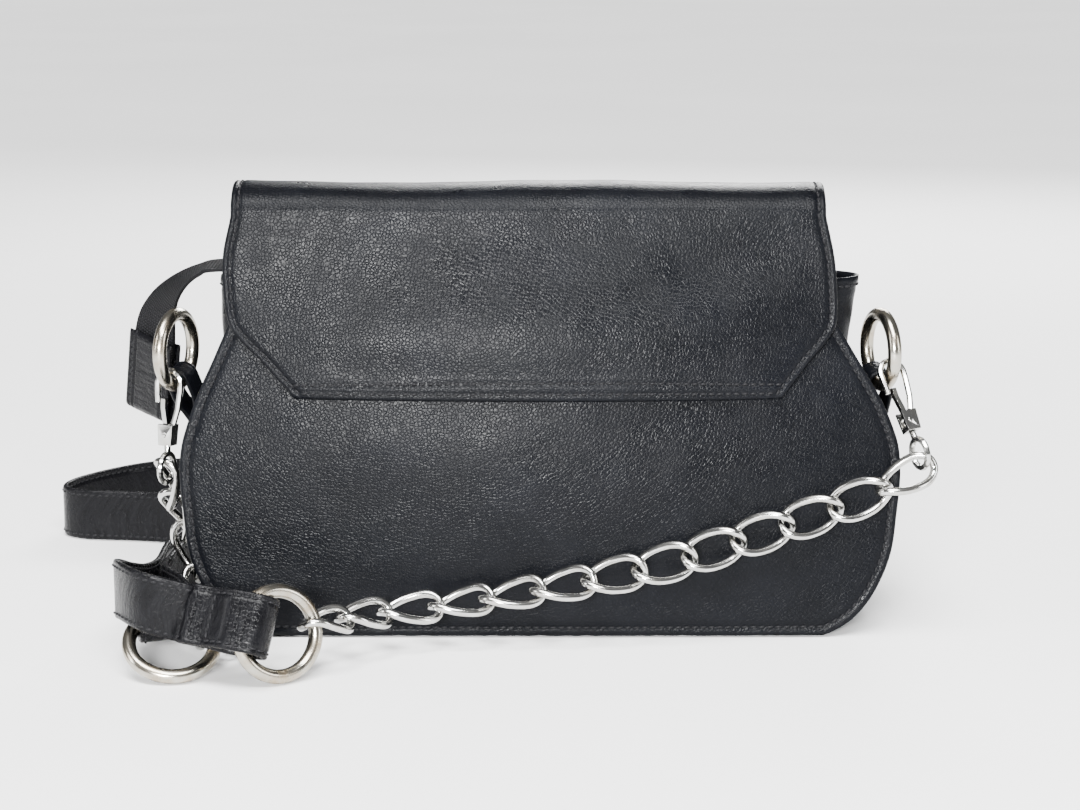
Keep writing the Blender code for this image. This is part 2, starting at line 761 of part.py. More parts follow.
def make_hook(side, target, cutters, metal):
    name = "right" if side > 0 else "left"
    frame = hook_frame(side)
    place = hook_matrix(frame)
    along_pin = place @ Matrix.Rotation(math.pi / 2, 4, "X")

    bow = wire("snap_hook_" + name, target, metal, bow_points(), HOOK_WIRE / 2, 2)
    bow.matrix_world = place
    bpy.context.view_layer.update()
    hook = as_mesh(bow, target)
    half = Vector((BLOCK_WIDTH, BLOCK_DEPTH, BLOCK_HEIGHT)) / 2
    block = box("hook_block_" + name, cutters, -half, half, place)
    for vert in block.data.vertices:
        if vert.co.z < 0:
            vert.co.x *= 0.84
    boolean(hook, block, "UNION", cutters)
    slot_half = GATE_WIDTH / 2 + GAP
    slot = box("hook_slot_" + name, cutters,
               Vector((-BLOCK_WIDTH, -slot_half, -GATE_ROOT - GAP)),
               Vector((HOOK_PIVOT + GATE_ROOT + GAP, slot_half, 0.53 * BLOCK_HEIGHT)), place)
    boolean(hook, slot, "DIFFERENCE", cutters)
    rivet = cylinder("hook_rivet_" + name, cutters, RIVET_RADIUS, BLOCK_DEPTH + 1.0 * MM,
                     12, Matrix.Translation(place.to_3x3() @ Vector((HOOK_PIVOT, 0, 0))) @ along_pin)
    boolean(hook, rivet, "UNION", cutters)
    stem_radius = HOOK_WIRE / 2
    bore = cylinder("hook_bore_" + name, cutters, stem_radius + GAP, 0.5 * BLOCK_HEIGHT, 12,
                    place @ Matrix.Translation((0, 0, -0.62 * BLOCK_HEIGHT)))
    boolean(hook, bore, "DIFFERENCE", cutters)

    make_gate(name, place, target, cutters, metal)
    make_swivel(name, place, target, cutters, metal)


def make_gate(name, place, target, cutters, metal):
    """The lever that closes the hook, turning on the rivet."""
    tip = gate_tip_x()
    path = [Vector((HOOK_PIVOT, 0, 1.2 * RIVET_RADIUS)),
            Vector((HOOK_PIVOT - 0.5 * MM, 0, 0.55 * BLOCK_HEIGHT)),
            Vector((tip, 0, 0.75 * GATE_REACH)), Vector((tip, 0, GATE_REACH))]
    rows = [(point, Vector((0, 1, 0))) for point in path]
    gate = band("snap_gate_" + name, target, metal, rows, GATE_WIDTH, GATE_THICKNESS)
    gate.data.transform(Matrix.Translation((-HOOK_PIVOT, 0, 0)))
    gate.matrix_world = place @ Matrix.Translation((HOOK_PIVOT, 0, 0))
    along_pin = gate.matrix_world @ Matrix.Rotation(math.pi / 2, 4, "X")
    root = cylinder("gate_root_" + name, cutters, GATE_ROOT, GATE_WIDTH, 14, along_pin)
    boolean(gate, root, "UNION", cutters)
    hole = cylinder("gate_hole_" + name, cutters, RIVET_RADIUS + 0.6 * GAP, 3 * GATE_WIDTH,
                    12, along_pin)
    boolean(gate, hole, "DIFFERENCE", cutters)


def eye_drop():
    return 0.5 * BLOCK_HEIGHT + EYE_NECK + (EYE_INNER + 2 * HOOK_WIRE) / 2


def make_swivel(name, place, target, cutters, metal):
    """The eye under the block, which turns on its stem."""
    bpy.ops.mesh.primitive_torus_add(
        major_segments=16, minor_segments=8,
        major_radius=(EYE_INNER + HOOK_WIRE) / 2, minor_radius=HOOK_WIRE / 2)
    eye = bpy.context.object
    eye.name = "snap_swivel_" + name
    move_to(eye, target)
    eye.matrix_world = (place @ Matrix.Translation((0, 0, -eye_drop()))
                        @ Matrix.Rotation(math.pi / 2, 4, "Y"))
    eye.data.materials.append(metal)
    top = -0.37 * BLOCK_HEIGHT - GAP
    bottom = -eye_drop() + (EYE_INNER + HOOK_WIRE) / 2
    stem = cylinder("swivel_stem_" + name, cutters, HOOK_WIRE / 2, top - bottom, 12,
                    place @ Matrix.Translation((0, 0, (top + bottom) / 2)))
    boolean(eye, stem, "UNION", cutters)


def eye_centre(side):
    frame = hook_frame(side)
    return frame["rivet"] - frame["up"] * eye_drop()


# Chains

def link_curve():
    """The middle of a curb link's wire: an oval twisted about its length."""
    half_length = (LINK_LENGTH - LINK_WIRE) / 2
    half_width = (LINK_WIDTH - LINK_WIRE) / 2
    points = []
    for step in range(LINK_POINTS):
        angle = 2 * math.pi * step / LINK_POINTS
        x = half_length * math.copysign(abs(math.cos(angle)) ** 0.86, math.cos(angle))
        side = half_width * math.copysign(abs(math.sin(angle)) ** 0.86, math.sin(angle))
        twist = math.radians(LINK_TWIST) * math.cos(angle)
        points.append(Vector((x, side * math.cos(twist), side * math.sin(twist))))
    return points


def link_reach():
    """From a link's middle to the middle of the wire at its end."""
    return (LINK_LENGTH - LINK_WIRE) / 2


def pitch_of(slack):
    return LINK_LENGTH - 2 * LINK_WIRE - slack


def route_points(points, slack):
    """Ends of equal steps along a route, each a little under the pitch."""
    lengths = [0.0]
    for first, second in zip(points, points[1:]):
        lengths.append(lengths[-1] + (second - first).length)
    count = math.ceil(lengths[-1] / pitch_of(slack))
    ends = []
    for step in range(count + 1):
        distance = min(lengths[-1] * step / count, lengths[-1] - 1e-9)
        index = next(i for i in range(len(points) - 1) if distance <= lengths[i + 1])
        share = (distance - lengths[index]) / (lengths[index + 1] - lengths[index])
        ends.append((points[index].lerp(points[index + 1], share), (index + share)))
    return ends


def square_to(vector, along):
    return (vector - along * vector.dot(along)).normalized()


def make_links(name, target, metal, places):
    shape = wire(name + "_shape", target, metal, link_curve(), LINK_WIRE / 2, 1, closed=True)
    for number, (centre, along, normal) in enumerate(places, 1):
        link = bpy.data.objects.new(f"{name}_{number:02d}", shape.data)
        link.matrix_world = axes_matrix(centre, along, normal.cross(along), normal)
        target.objects.link(link)
    bpy.data.objects.remove(shape, do_unlink=True)


def end_overhang(slack):
    """How far a link's end wire reaches past its step of the route."""
    return link_reach() - pitch_of(slack) / 2


def wire_hold(wire_point, wire_way, wire, before, slack):
    """Where a route from `before` ends so that its last link holds a wire."""
    toward = (wire_point - before).normalized()
    reach = wire / 2 / toward.cross(wire_way).length
    inside = reach + LINK_WIRE / 2 + LINK_PLAY
    return wire_point + toward * (inside - end_overhang(slack))


def hold_normal(wire_way, along, twist):
    """Normal of a link whose sides pass either side of a wire at its end.

    `twist` is how far the link's wire has turned where the other wire passes.
    """
    side = along.cross(square_to(wire_way, along))
    turn = math.radians(-twist)
    return along.cross(side) * math.cos(turn) - side * math.sin(turn)


def right_chain(front_ring):
    """Links over the front of the bag from the right hook to the front ring."""
    hook = hook_frame(1)
    low_point = eye_centre(1) - hook["up"] * (EYE_INNER + HOOK_WIRE) / 2
    points = []
    rolls = []
    for row in RIGHT_CHAIN_ROUTE:
        x, z = row["x"] * HALF_WIDTH, row["height"] * PANEL_HEIGHT
        points.append(Vector((x, front_y(x, z) - row["off"] * PANEL_HEIGHT, z)))
        rolls.append(Vector((row["roll"], 0, 0)))
    points.insert(0, wire_hold(low_point, hook["normal"], HOOK_WIRE, points[0],
                               RIGHT_SLACK))
    ring_place, ring_way = ring_point(front_ring, STRAP_RING_INNER, 4)
    points.append(wire_hold(ring_place, ring_way, RING_WIRE, points[-1], RIGHT_SLACK))
    rolls = smooth_route([rolls[0]] + rolls + [rolls[-1]], 6)
    ends = route_points(smooth_route(points, 6), RIGHT_SLACK)
    places = []
    for (start, low), (stop, high) in zip(ends, ends[1:]):
        along = (stop - start).normalized()
        roll = math.radians(rolls[round((low + high) / 2)].x)
        normal = square_to(Vector((0, -math.cos(roll), math.sin(roll))), along)
        places.append(((start + stop) / 2, along, normal))
    centre, along, _ = places[0]
    places[0] = (centre, along, hold_normal(hook["normal"], along, -HOLD_TWIST))
    centre, along, _ = places[-1]
    places[-1] = (centre, along, hold_normal(ring_way, along, HOLD_TWIST))
    return places


def left_chain(back_ring):
    """Links down the left side and along the floor to the back ring."""
    first = Vector((0.1, 0.1, -1)).normalized()
    high_in_eye = -(EYE_INNER - LINK_WIRE) / 2 + LINK_PLAY
    points = [eye_centre(-1) + first * (end_overhang(LEFT_SLACK) + high_in_eye)]
    for row in LEFT_CHAIN_ROUTE:
        points.append(Vector((row["x"] * HALF_WIDTH, row["y"] * HALF_WIDTH,
                              row["height"] * PANEL_HEIGHT)))
    ring_place, ring_way = ring_point(back_ring, STRAP_RING_INNER, 2)
    points.append(wire_hold(ring_place, ring_way, RING_WIRE, points[-1], LEFT_SLACK))
    ends = [end for end, _ in route_points(smooth_route(points, 6), LEFT_SLACK)]
    steps = [(stop - start).normalized() for start, stop in zip(ends, ends[1:])]
    normals = [hold_normal(hook_frame(-1)["normal"], steps[0], -LINK_TWIST)]
    for along in steps[1:]:
        normals.append(square_to(normals[-1], along))
    wanted = hold_normal(ring_way, steps[-1], HOLD_TWIST)
    turn = math.atan2(normals[-1].cross(wanted).dot(steps[-1]), normals[-1].dot(wanted))
    turn = (turn + math.radians(150)) % math.pi - math.radians(150)
    places = []
    for index, along in enumerate(steps):
        roll = Matrix.Rotation(turn * index / (len(steps) - 1), 3, along)
        places.append(((ends[index] + ends[index + 1]) / 2, along, roll @ normals[index]))
    return places


# Leather strap

def loop_rows(frame, inner, degrees, toward, fold):
    """Rows of a strap end that wraps a ring's wire, free end first.

    `toward` is the way that the strap leaves the ring and `fold` is how far
    the turned-back layer reaches.
    """
    place, along = ring_point(frame, inner, degrees)
    hole = inner / 2
    sag = (frame["centre"] - place).normalized() * (
        hole - math.sqrt(hole ** 2 - (STRAP_WIDTH / 2) ** 2))
    across = along if along.z >= 0 else -along
    toward = square_to(toward, across)
    facing = across.cross(toward).normalized()
    slip = facing * sag.dot(facing)
    sink = toward * sag.dot(toward)
    turn = RING_WIRE / 2 + GAP + STRAP_THICKNESS / 2 + slip.length / 2
    near = (STRAP_THICKNESS + GAP) / 2
    middle = place + slip / 2
    layers = []
    for share in (1.0, 0.75, 0.5, 0.3, 0.1):
        spread = near + (turn - near) * smoothstep((0.62 - share) / 0.5)
        layers.append((middle + toward * fold * share, facing * spread))
    rows = [centre + spread for centre, spread in layers]
    for step in range(9):
        angle = math.pi * step / 8
        rows.append(middle + sink + facing * turn * math.cos(angle)
                    - toward * turn * math.sin(angle))
    rows += [centre - spread for centre, spread in reversed(layers)]
    return [(point, across) for point in rows]


def strap_point(row):
    tilt = row["stand"] * math.pi / 2
    height = (STRAP_WIDTH / 2 * math.sin(tilt) + STRAP_THICKNESS / 2 * math.cos(tilt)
              + row["lift"] * STRAP_WIDTH + FLOOR_GAP)
    return Vector((row["x"] * HALF_WIDTH, row["y"] * HALF_WIDTH, height))


def strap_rows(front_ring, back_ring):
    """Middle line of the whole strap with the direction across it."""
    route = [strap_point(row) for row in STRAP_ROUTE]
    toward = route[0] - ring_point(front_ring, STRAP_RING_INNER, FRONT_LOOP_DEGREES)[0]
    first = loop_rows(front_ring, STRAP_RING_INNER, FRONT_LOOP_DEGREES, toward,
                      0.8 * STRAP_FOLD)
    last = loop_rows(back_ring, STRAP_RING_INNER, BACK_LOOP_DEGREES,
                     Vector((0, 1, 0.15)), 0.45 * STRAP_FOLD)
    last.reverse()
    stands = ([Vector((1, 0, 0))] + [Vector((row["stand"], 0, 0)) for row in STRAP_ROUTE]
              + [Vector((0, 0, 0))])
    path = smooth_route([first[-1][0]] + route + [last[0][0]], 2)
    turns = smooth_route(stands, 2)
    rows = list(first)
    for index in range(1, len(path) - 1):
        along = (path[index + 1] - path[index - 1]).normalized()
        level = Vector((-along.y, along.x, 0)).normalized()
        tilt = min(max(turns[index].x, 0.0), 1.0) * math.pi / 2
        across = square_to(UP * math.sin(tilt) + level * math.cos(tilt), along)
        rows.append((path[index], across))
    for point, across in last:
        if across.dot(rows[-1][1]) < 0:
            across = -across
        rows.append((point, across))
    return rows


def build():
    start_empty()
    parts = collection("handbag")
    cutters = collection("cutters")
    leather = material("black leather", (0.012, 0.013, 0.016), 0.42, 0.0)
    glossy = material("glossy leather", (0.010, 0.010, 0.012), 0.28, 0.0)
    cloth = material("zip tape", (0.010, 0.010, 0.011), 0.85, 0.0)
    nickel = material("nickel", (0.66, 0.64, 0.60), 0.25, 1.0)
    steel = material("chain", (0.78, 0.78, 0.78), 0.18, 1.0)

    make_panels(parts, leather)
    make_gusset(parts, leather)
    make_flap(parts, leather)
    make_tape(parts, cloth, glossy)

    for side, name in ((-1, "left"), (1, "right")):
        make_ring("side_ring_" + name, parts, nickel, side_ring(side), SIDE_RING_INNER)
        make_ring_tab("ring_tab_" + name, parts, leather, side)
        make_hook(side, parts, cutters, steel)

    front_ring = ring_on_floor(-0.691 * HALF_WIDTH, -0.628 * HALF_WIDTH, 34, 15,
                               STRAP_RING_INNER)
    back_ring = ring_on_floor(-0.980 * HALF_WIDTH, -0.560 * HALF_WIDTH, 14, 58,
                              STRAP_RING_INNER)
    make_ring("strap_ring_front", parts, nickel, front_ring, STRAP_RING_INNER)
    make_ring("strap_ring_back", parts, nickel, back_ring, STRAP_RING_INNER)
    make_links("chain_right", parts, steel, right_chain(front_ring))
    make_links("chain_left", parts, steel, left_chain(back_ring))
    band("shoulder_strap", parts, glossy, strap_rows(front_ring, back_ring),
         STRAP_WIDTH, STRAP_THICKNESS)


build()
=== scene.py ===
"""Dressed scene of the shoulder bag: leather, stitches, tape, metal, light and camera.

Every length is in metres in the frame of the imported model: X runs to the
right, Y to the back and Z up, with the origin in the middle of the flat base.
"""
from math import asin, ceil, copysign, cos, exp, hypot, pi, radians, sin, sqrt

import bmesh
import bpy
import numpy as np
from mathutils import Matrix, Vector, kdtree, noise


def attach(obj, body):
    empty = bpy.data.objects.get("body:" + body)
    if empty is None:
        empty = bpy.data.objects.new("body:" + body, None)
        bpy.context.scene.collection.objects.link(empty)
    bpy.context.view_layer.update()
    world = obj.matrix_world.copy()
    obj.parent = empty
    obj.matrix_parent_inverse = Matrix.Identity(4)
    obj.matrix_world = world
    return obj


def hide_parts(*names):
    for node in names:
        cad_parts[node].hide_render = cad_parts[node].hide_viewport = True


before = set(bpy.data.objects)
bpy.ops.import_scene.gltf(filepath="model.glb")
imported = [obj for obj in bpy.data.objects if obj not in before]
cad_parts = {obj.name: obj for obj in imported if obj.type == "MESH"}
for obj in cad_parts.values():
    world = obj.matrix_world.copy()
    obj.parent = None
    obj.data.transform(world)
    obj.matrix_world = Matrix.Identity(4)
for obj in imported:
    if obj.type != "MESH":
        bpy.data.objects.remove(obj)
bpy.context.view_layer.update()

MM = 0.001
UP = Vector((0, 0, 1))


def rows_of(columns, *rows):
    """A short table: each row as a dictionary with the columns' names."""
    return [dict(zip(columns.split(), row)) for row in rows]


# Bag body
BODY_WIDTH = 250 * MM
PANEL_HEIGHT = 146 * MM
BASE_DEPTH = 60 * MM
TOP_DEPTH = 24 * MM
LEATHER = 2.0 * MM
FRONT_BULGE = 9.0 * MM
BACK_BULGE = 4.0 * MM
TOP_LEAN = -4.0 * MM
PANEL_LIFT = 0.8 * MM
SEAM_MARGIN = 5.0 * MM
GUSSET_THICKNESS = 1.8 * MM
FLANGE_THICKNESS = 1.6 * MM
FLANGE_SHY = 0.6 * MM
GUSSET_TOP = 125 * MM
GUSSET_BULGE = 18 * MM
GAP = 0.35 * MM

# Flap
FLAP_THICKNESS = 2.6 * MM
FLAP_WIDTH = 211 * MM
FLAP_RISE = 7 * MM
FLAP_DROP = 69 * MM
FLAP_BACK = 26 * MM

# Closure tape and its end tab: the rows inside the bag are shares of its
# reach, and the reach is a share of HALF_WIDTH.
TAPE_THICKNESS = 1.2 * MM
TAPE_TAIL = 34 * MM
TAPE_REACH = 0.72
TAPE_INSIDE = (1.0, 0.5, 0.0, -0.5, -0.9)
END_TAB_LENGTH = 27 * MM
END_TAB_LEATHER = 1.6 * MM

# Side rings, their tabs and the strap rings
RING_WIRE = 4.8 * MM
SIDE_RING_INNER = 20 * MM
STRAP_RING_INNER = 23.5 * MM
SIDE_RING_HEIGHT = 97 * MM
RIGHT_RING_OUT = 119.6 * MM
LEFT_RING_OUT = 127.7 * MM
SIDE_RING_Y = -2 * MM
RIGHT_RING_YAW = -74
LEFT_RING_YAW = -110
RING_TAB_WIDTH = 8 * MM
RING_TAB_LEATHER = 1.8 * MM
RING_TAB_FOOT = 69 * MM
RING_TAB_DEGREES = 250

# Chain links
LINK_WIRE = 2.8 * MM
LINK_LENGTH = 24.3 * MM
LINK_WIDTH = 14.6 * MM
LINK_TWIST = 42

# Leather strap: its folds are shares of STRAP_FOLD.
STRAP_WIDTH = 20 * MM
STRAP_THICKNESS = 2.2 * MM
STRAP_FOLD = 24 * MM
FLOOR_GAP = 0.35 * MM
FRONT_LOOP_DEGREES = 156
BACK_LOOP_DEGREES = 93
FRONT_LOOP_FOLD = 0.8
BACK_LOOP_FOLD = 0.45
BACK_LOOP_TOWARD = Vector((0, 1, 0.15))
LOOP_ROWS = 12
LOOP_TURN = 24

HALF_WIDTH = BODY_WIDTH / 2

# Panel sections: height as a share of PANEL_HEIGHT, half width as a share of
# HALF_WIDTH, bulge as a share of the panel's bulge.
PANEL_SECTIONS = rows_of(
    "height half_width bulge",
    (0.000, 0.768, 0.00),
    (0.014, 0.816, 0.06),
    (0.051, 0.880, 0.20),
    (0.116, 0.936, 0.42),
    (0.202, 0.976, 0.68),
    (0.295, 0.991, 0.88),
    (0.384, 1.000, 0.98),
    (0.452, 0.995, 1.00),
    (0.510, 0.975, 0.98),
    (0.575, 0.944, 0.93),
    (0.678, 0.880, 0.82),
    (0.788, 0.816, 0.62),
    (0.877, 0.784, 0.42),
    (0.945, 0.755, 0.25),
    (1.000, 0.700, 0.15),
)

# How far the gusset's middle stands out: height as a share of GUSSET_TOP,
# stand-out as a share of GUSSET_BULGE.
GUSSET_SECTIONS = rows_of(
    "height bulge",
    (0.00, 0.00),
    (0.73, 0.00),
    (0.80, 0.22),
    (0.90, 0.66),
    (1.00, 1.00),
)

# Flap half width: distance down from the fold as a share of FLAP_DROP,
# half width as a share of half of FLAP_WIDTH.
FLAP_SECTIONS = rows_of(
    "drop half_width",
    (-0.40, 0.930),
    (0.00, 0.968),
    (0.22, 0.995),
    (0.42, 1.000),
    (0.60, 0.990),
    (0.70, 0.950),
    (0.80, 0.893),
    (1.00, 0.792),
)

# Tail of the closure tape beyond the gusset's rim: steps along X, Y and Z as
# shares of TAPE_TAIL, and the turn of its width about the vertical in degrees.
TAPE_SECTIONS = rows_of(
    "out back down turn",
    (0.00, 0.00, 0.00, 0),
    (0.22, 0.07, 0.06, 6),
    (0.42, 0.19, 0.18, 16),
    (0.60, 0.36, 0.36, 27),
    (0.72, 0.51, 0.58, 37),
    (0.77, 0.58, 0.84, 43),
)
END_TAB_LEAN = {"out": 0.10, "back": 0.08, "down": 0.99}

# Rings at the strap's ends: x and y as shares of HALF_WIDTH, turn about the
# vertical and lean from it in degrees.
STRAP_RINGS = rows_of(
    "x y yaw lean",
    (-0.691, -0.628, 34, 15),
    (-0.980, -0.560, 14, 58),
)

# Chosen points of the leather strap from the front strap ring round the back
# to the back strap ring: x and y as shares of HALF_WIDTH, lift above the
# floor as a share of STRAP_WIDTH, stand 1 on its edge and 0 flat.
STRAP_ROUTE = rows_of(
    "x y lift stand",
    (-1.048, -0.620, 0.84, 1.0),
    (-1.124, -0.510, 0.84, 1.0),
    (-1.138, -0.400, 0.66, 1.0),
    (-1.130, -0.290, 0.42, 1.0),
    (-1.110, -0.150, 0.16, 1.0),
    (-1.094, 0.000, 0.02, 1.0),
    (-1.092, 0.200, 0.00, 1.0),
    (-1.058, 0.390, 0.00, 1.0),
    (-1.040, 0.540, 0.00, 1.0),
    (-1.070, 0.680, 0.00, 1.0),
    (-1.160, 0.770, 0.00, 1.0),
    (-1.300, 0.805, 0.00, 1.0),
    (-1.440, 0.825, 0.00, 1.0),
    (-1.512, 0.880, 0.00, 1.0),
    (-1.500, 0.980, 0.00, 1.0),
    (-1.410, 1.110, 0.00, 1.0),
    (-1.290, 1.215, 0.00, 1.0),
    (-1.120, 1.290, 0.00, 1.0),
    (-0.940, 1.290, 0.00, 1.0),
    (-0.790, 1.210, 0.00, 1.0),
    (-0.720, 1.060, 0.00, 1.0),
    (-0.730, 0.860, 0.00, 1.0),
    (-0.790, 0.660, 0.00, 1.0),
    (-0.880, 0.500, 0.00, 1.0),
    (-0.975, 0.360, 0.00, 1.0),
    (-1.045, 0.200, 0.00, 1.0),
    (-1.066, 0.030, 0.00, 1.0),
    (-1.067, -0.060, 0.02, 1.0),
    (-1.054, -0.150, 0.08, 0.85),
    (-1.034, -0.240, 0.22, 0.60),
    (-1.016, -0.300, 0.32, 0.32),
)

# Stitches, hems and creases that the solids leave out
STITCH_PITCH = 2.9 * MM
STITCH_LENGTH = 2.3 * MM
STITCH_SLANT = 0.12
STITCH_GROOVE = 0.60 * MM
THREAD = 0.44 * MM
PANEL_INSET = 3.1 * MM
FLAP_INSET = 2.6 * MM
HEM_ROW = 6.4 * MM
HEM_DEPTH = 8.0 * MM
GUSSET_HEM = 3.0 * MM
TAB_INSET = 2.2 * MM
STRAP_INSET = 1.9 * MM
RING_TAB_INSET = 1.4 * MM
TAB_PITCH = 2.4 * MM
RING_TAB_STITCHES = ((1, 14), (41, 54))
END_TAB_STITCHES = ((1, 20), (32, 50))
BOX_ROWS = (2, 7)
CREASE_PITCH = 3.4 * MM
CREASE_HEIGHT = 0.2 * MM

# Fineness of the meshes, in steps along or across a piece
FINE_STEP = 1.7 * MM
PANEL_COLUMNS = 96
FLAP_COLUMNS = 96
FLAP_BACK_ROWS = 12
FLAP_ARC_ROWS = 24
FLAP_FRONT_ROWS = 60
GUSSET_STEPS = 28
FLANGE_STEPS = 5
TAB_ROWS = 20
RING_TAB_TURN = 14
END_TAB_TURN = 12
END_TAB_COLUMNS = 60
TAPE_STEPS = 6
TAPE_COLUMNS = 22
LINK_STEPS = 44
LINK_SIDES = 14
LINK_ROUNDNESS = 0.86
STRAP_STEPS = 10
STRAP_COLUMNS = 28
RING_STEPS = 96
RING_SIDES = 28
PANEL_FLOOR_STEPS = 20
GUSSET_FLOOR_STEPS = 12

# Rounded edges of the snap hooks
HOOK_ROUNDING = 0.25 * MM
HOOK_SHARP_ANGLE = 28
HOOK_BEVEL_ANGLE = 50
WELD = 0.01 * MM

# Gloss, and sizes of the leather's bumps and the metal's scratches
SHEEN_LEVEL = 0.075
WRINKLE = 1.2 * MM
GRAIN_HEIGHT = 0.07 * MM
PORE_HEIGHT = 0.04 * MM
STRAP_WRINKLE = 0.8 * MM
STRAP_GRAIN_HEIGHT = 0.16 * MM
WEAVE_HEIGHT = 0.6 * MM
SCRATCH_HEIGHT = 0.05 * MM
THREAD_TWIST = 0.1 * MM

# Light: the soft lights' places and sizes are in metres, power in watts.
WORLD_LIGHT = 0.20
SUN_LIGHT = 6.2
SUN_ANGLE = 28
SUN_TURN = (18, -10, 0)
LIGHT_TARGET = (0, 0, 0.08)
AREA_LIGHTS = rows_of(
    "name place size power",
    ("front", (-0.20, -1.20, 0.36), (0.34, 0.14), 46.0),
    ("key", (0.10, -0.70, 0.95), (0.5, 0.25), 20.0),
    ("left", (-1.1, -0.35, 0.45), (0.25, 0.6), 6.0),
    ("right", (1.1, -0.45, 0.40), (0.25, 0.6), 6.0),
    ("behind", (0.2, 1.1, 0.6), (0.6, 0.3), 16.0),
)
FLOOR_REACH = 6.0

# Camera of the photo
PHOTO_WIDTH = 1080
SENSOR_WIDTH = 36
CAMERA_PITCH = 12
CAMERA_PIXELS = 2633
CAMERA_DISTANCE = 900 * MM
CAMERA_TARGET = Vector((0, -30 * MM, 83 * MM))

# A stitch: place along it as a share of STITCH_LENGTH, lift and radius as
# shares of THREAD.
STITCH_SIDES = 6
STITCH_PROFILE = rows_of(
    "share lift size",
    (-0.50, -0.8, 0.5),
    (-0.36, 0.2, 0.9),
    (0.0, 0.6, 1.0),
    (0.36, 0.2, 0.9),
    (0.50, -0.8, 0.5),
)

# Soft pushes in the leather: place as shares of HALF_WIDTH and PANEL_HEIGHT,
# size as the same shares, slope of the push, and how far it stands out in mm.
FRONT_DENTS = rows_of(
    "x height wide tall slope push",
    (-0.28, 0.47, 0.42, 0.12, -0.05, 0.7),
    (0.38, 0.52, 0.30, 0.10, 0.20, -0.6),
    (-0.52, 0.30, 0.20, 0.16, 0.40, -0.6),
    (0.10, 0.10, 0.60, 0.05, 0.02, -0.5),
)
BACK_DENTS = rows_of(
    "x height wide tall slope push",
    (0.20, 0.50, 0.45, 0.18, 0.05, -0.7),
    (-0.35, 0.30, 0.30, 0.10, -0.1, 0.5),
)
FLAP_DENTS = rows_of(
    "x height wide tall slope push",
    (0.05, 0.74, 0.75, 0.10, 0.03, 1.6),
    (0.50, 0.88, 0.34, 0.07, 0.24, -0.9),
    (-0.35, 0.64, 0.30, 0.05, -0.06, -0.5),
    (0.62, 0.66, 0.20, 0.06, 0.10, 0.5),
)


def smoothstep(value):
    share = min(max(value, 0.0), 1.0)
    return share * share * (3 - 2 * share)


def read_table(rows, key, at, column):
    """Value of a column at a place along a table, eased between its rows."""
    if at <= rows[0][key]:
        return rows[0][column]
    for index in range(len(rows) - 1):
        low, high = rows[index], rows[index + 1]
        if at <= high[key]:
            before = rows[max(index - 1, 0)]
            after = rows[min(index + 2, len(rows) - 1)]
            span = high[key] - low[key]
            share = (at - low[key]) / span
            slope_low = (high[column] - before[column]) / (high[key] - before[key])
            slope_high = (after[column] - low[column]) / (after[key] - low[key])
            square, cube = share * share, share ** 3
            return ((2 * cube - 3 * square + 1) * low[column]
                    + (cube - 2 * square + share) * span * slope_low
                    + (3 * square - 2 * cube) * high[column]
                    + (cube - square) * span * slope_high)
    return rows[-1][column]


def smooth_route(points, steps):
    """Points on a smooth curve through the given ones, `steps` to a span."""
    result = []
    last = len(points) - 1
    for index in range(last):
        before = points[max(index - 1, 0)]
        low, high = points[index], points[index + 1]
        after = points[min(index + 2, last)]
        for step in range(steps):
            share = step / steps
            result.append(0.5 * ((2 * low) + (high - before) * share
                                 + (2 * before - 5 * low + 4 * high - after) * share ** 2
                                 + (3 * low - before - 3 * high + after) * share ** 3))
    result.append(points[last].copy())
    return result


# Surfaces of the body

def half_width_at(z):
    return HALF_WIDTH * read_table(PANEL_SECTIONS, "height", z / PANEL_HEIGHT, "half_width")


def lean_at(z):
    return TOP_LEAN * smoothstep((z / PANEL_HEIGHT - 0.45) / 0.5)


def half_depth_at(z):
    share = min(max(z / PANEL_HEIGHT, 0.0), 1.0)
    return BASE_DEPTH / 2 + (TOP_DEPTH - BASE_DEPTH) / 2 * share


def bulge_at(x, z):
    """Share of the full bulge at a point of a panel, nothing past its edge."""
    across = (x - lean_at(z)) / half_width_at(z)
    if abs(across) >= 1:
        return 0.0
    return (1 - across * across) ** 1.2 * read_table(
        PANEL_SECTIONS, "height", z / PANEL_HEIGHT, "bulge")


def front_y(x, z):
    return -half_depth_at(z) - FRONT_BULGE * bulge_at(x, z)


def back_y(x, z):
    return half_depth_at(z) + BACK_BULGE * bulge_at(x, z)


# Shapes shared with the solids

def gusset_bulge(z):
    return GUSSET_BULGE * read_table(GUSSET_SECTIONS, "height", z / GUSSET_TOP, "bulge")


def margin_at(z):
    return SEAM_MARGIN * smoothstep(z / (0.2 * PANEL_HEIGHT))


def gusset_arch(across):
    """Share of the bulge at a place across the gusset, from -1 to 1."""
    return sqrt(max(1 - across * across, 0.0))


def gusset_side(z, across):
    """How far out from the body's middle the gusset's outer face lies."""
    return half_width_at(z) - margin_at(z) + gusset_bulge(z) * gusset_arch(across)


def web_depth(z):
    """Half the width of the gusset between its two folds."""
    return half_depth_at(z) - LEATHER - GAP - GUSSET_THICKNESS / 2


def flap_clear():
    return GAP + FLAP_THICKNESS / 2


def tape_width():
    return 2 * (half_depth_at(GUSSET_TOP) - LEATHER - 2 * GAP)


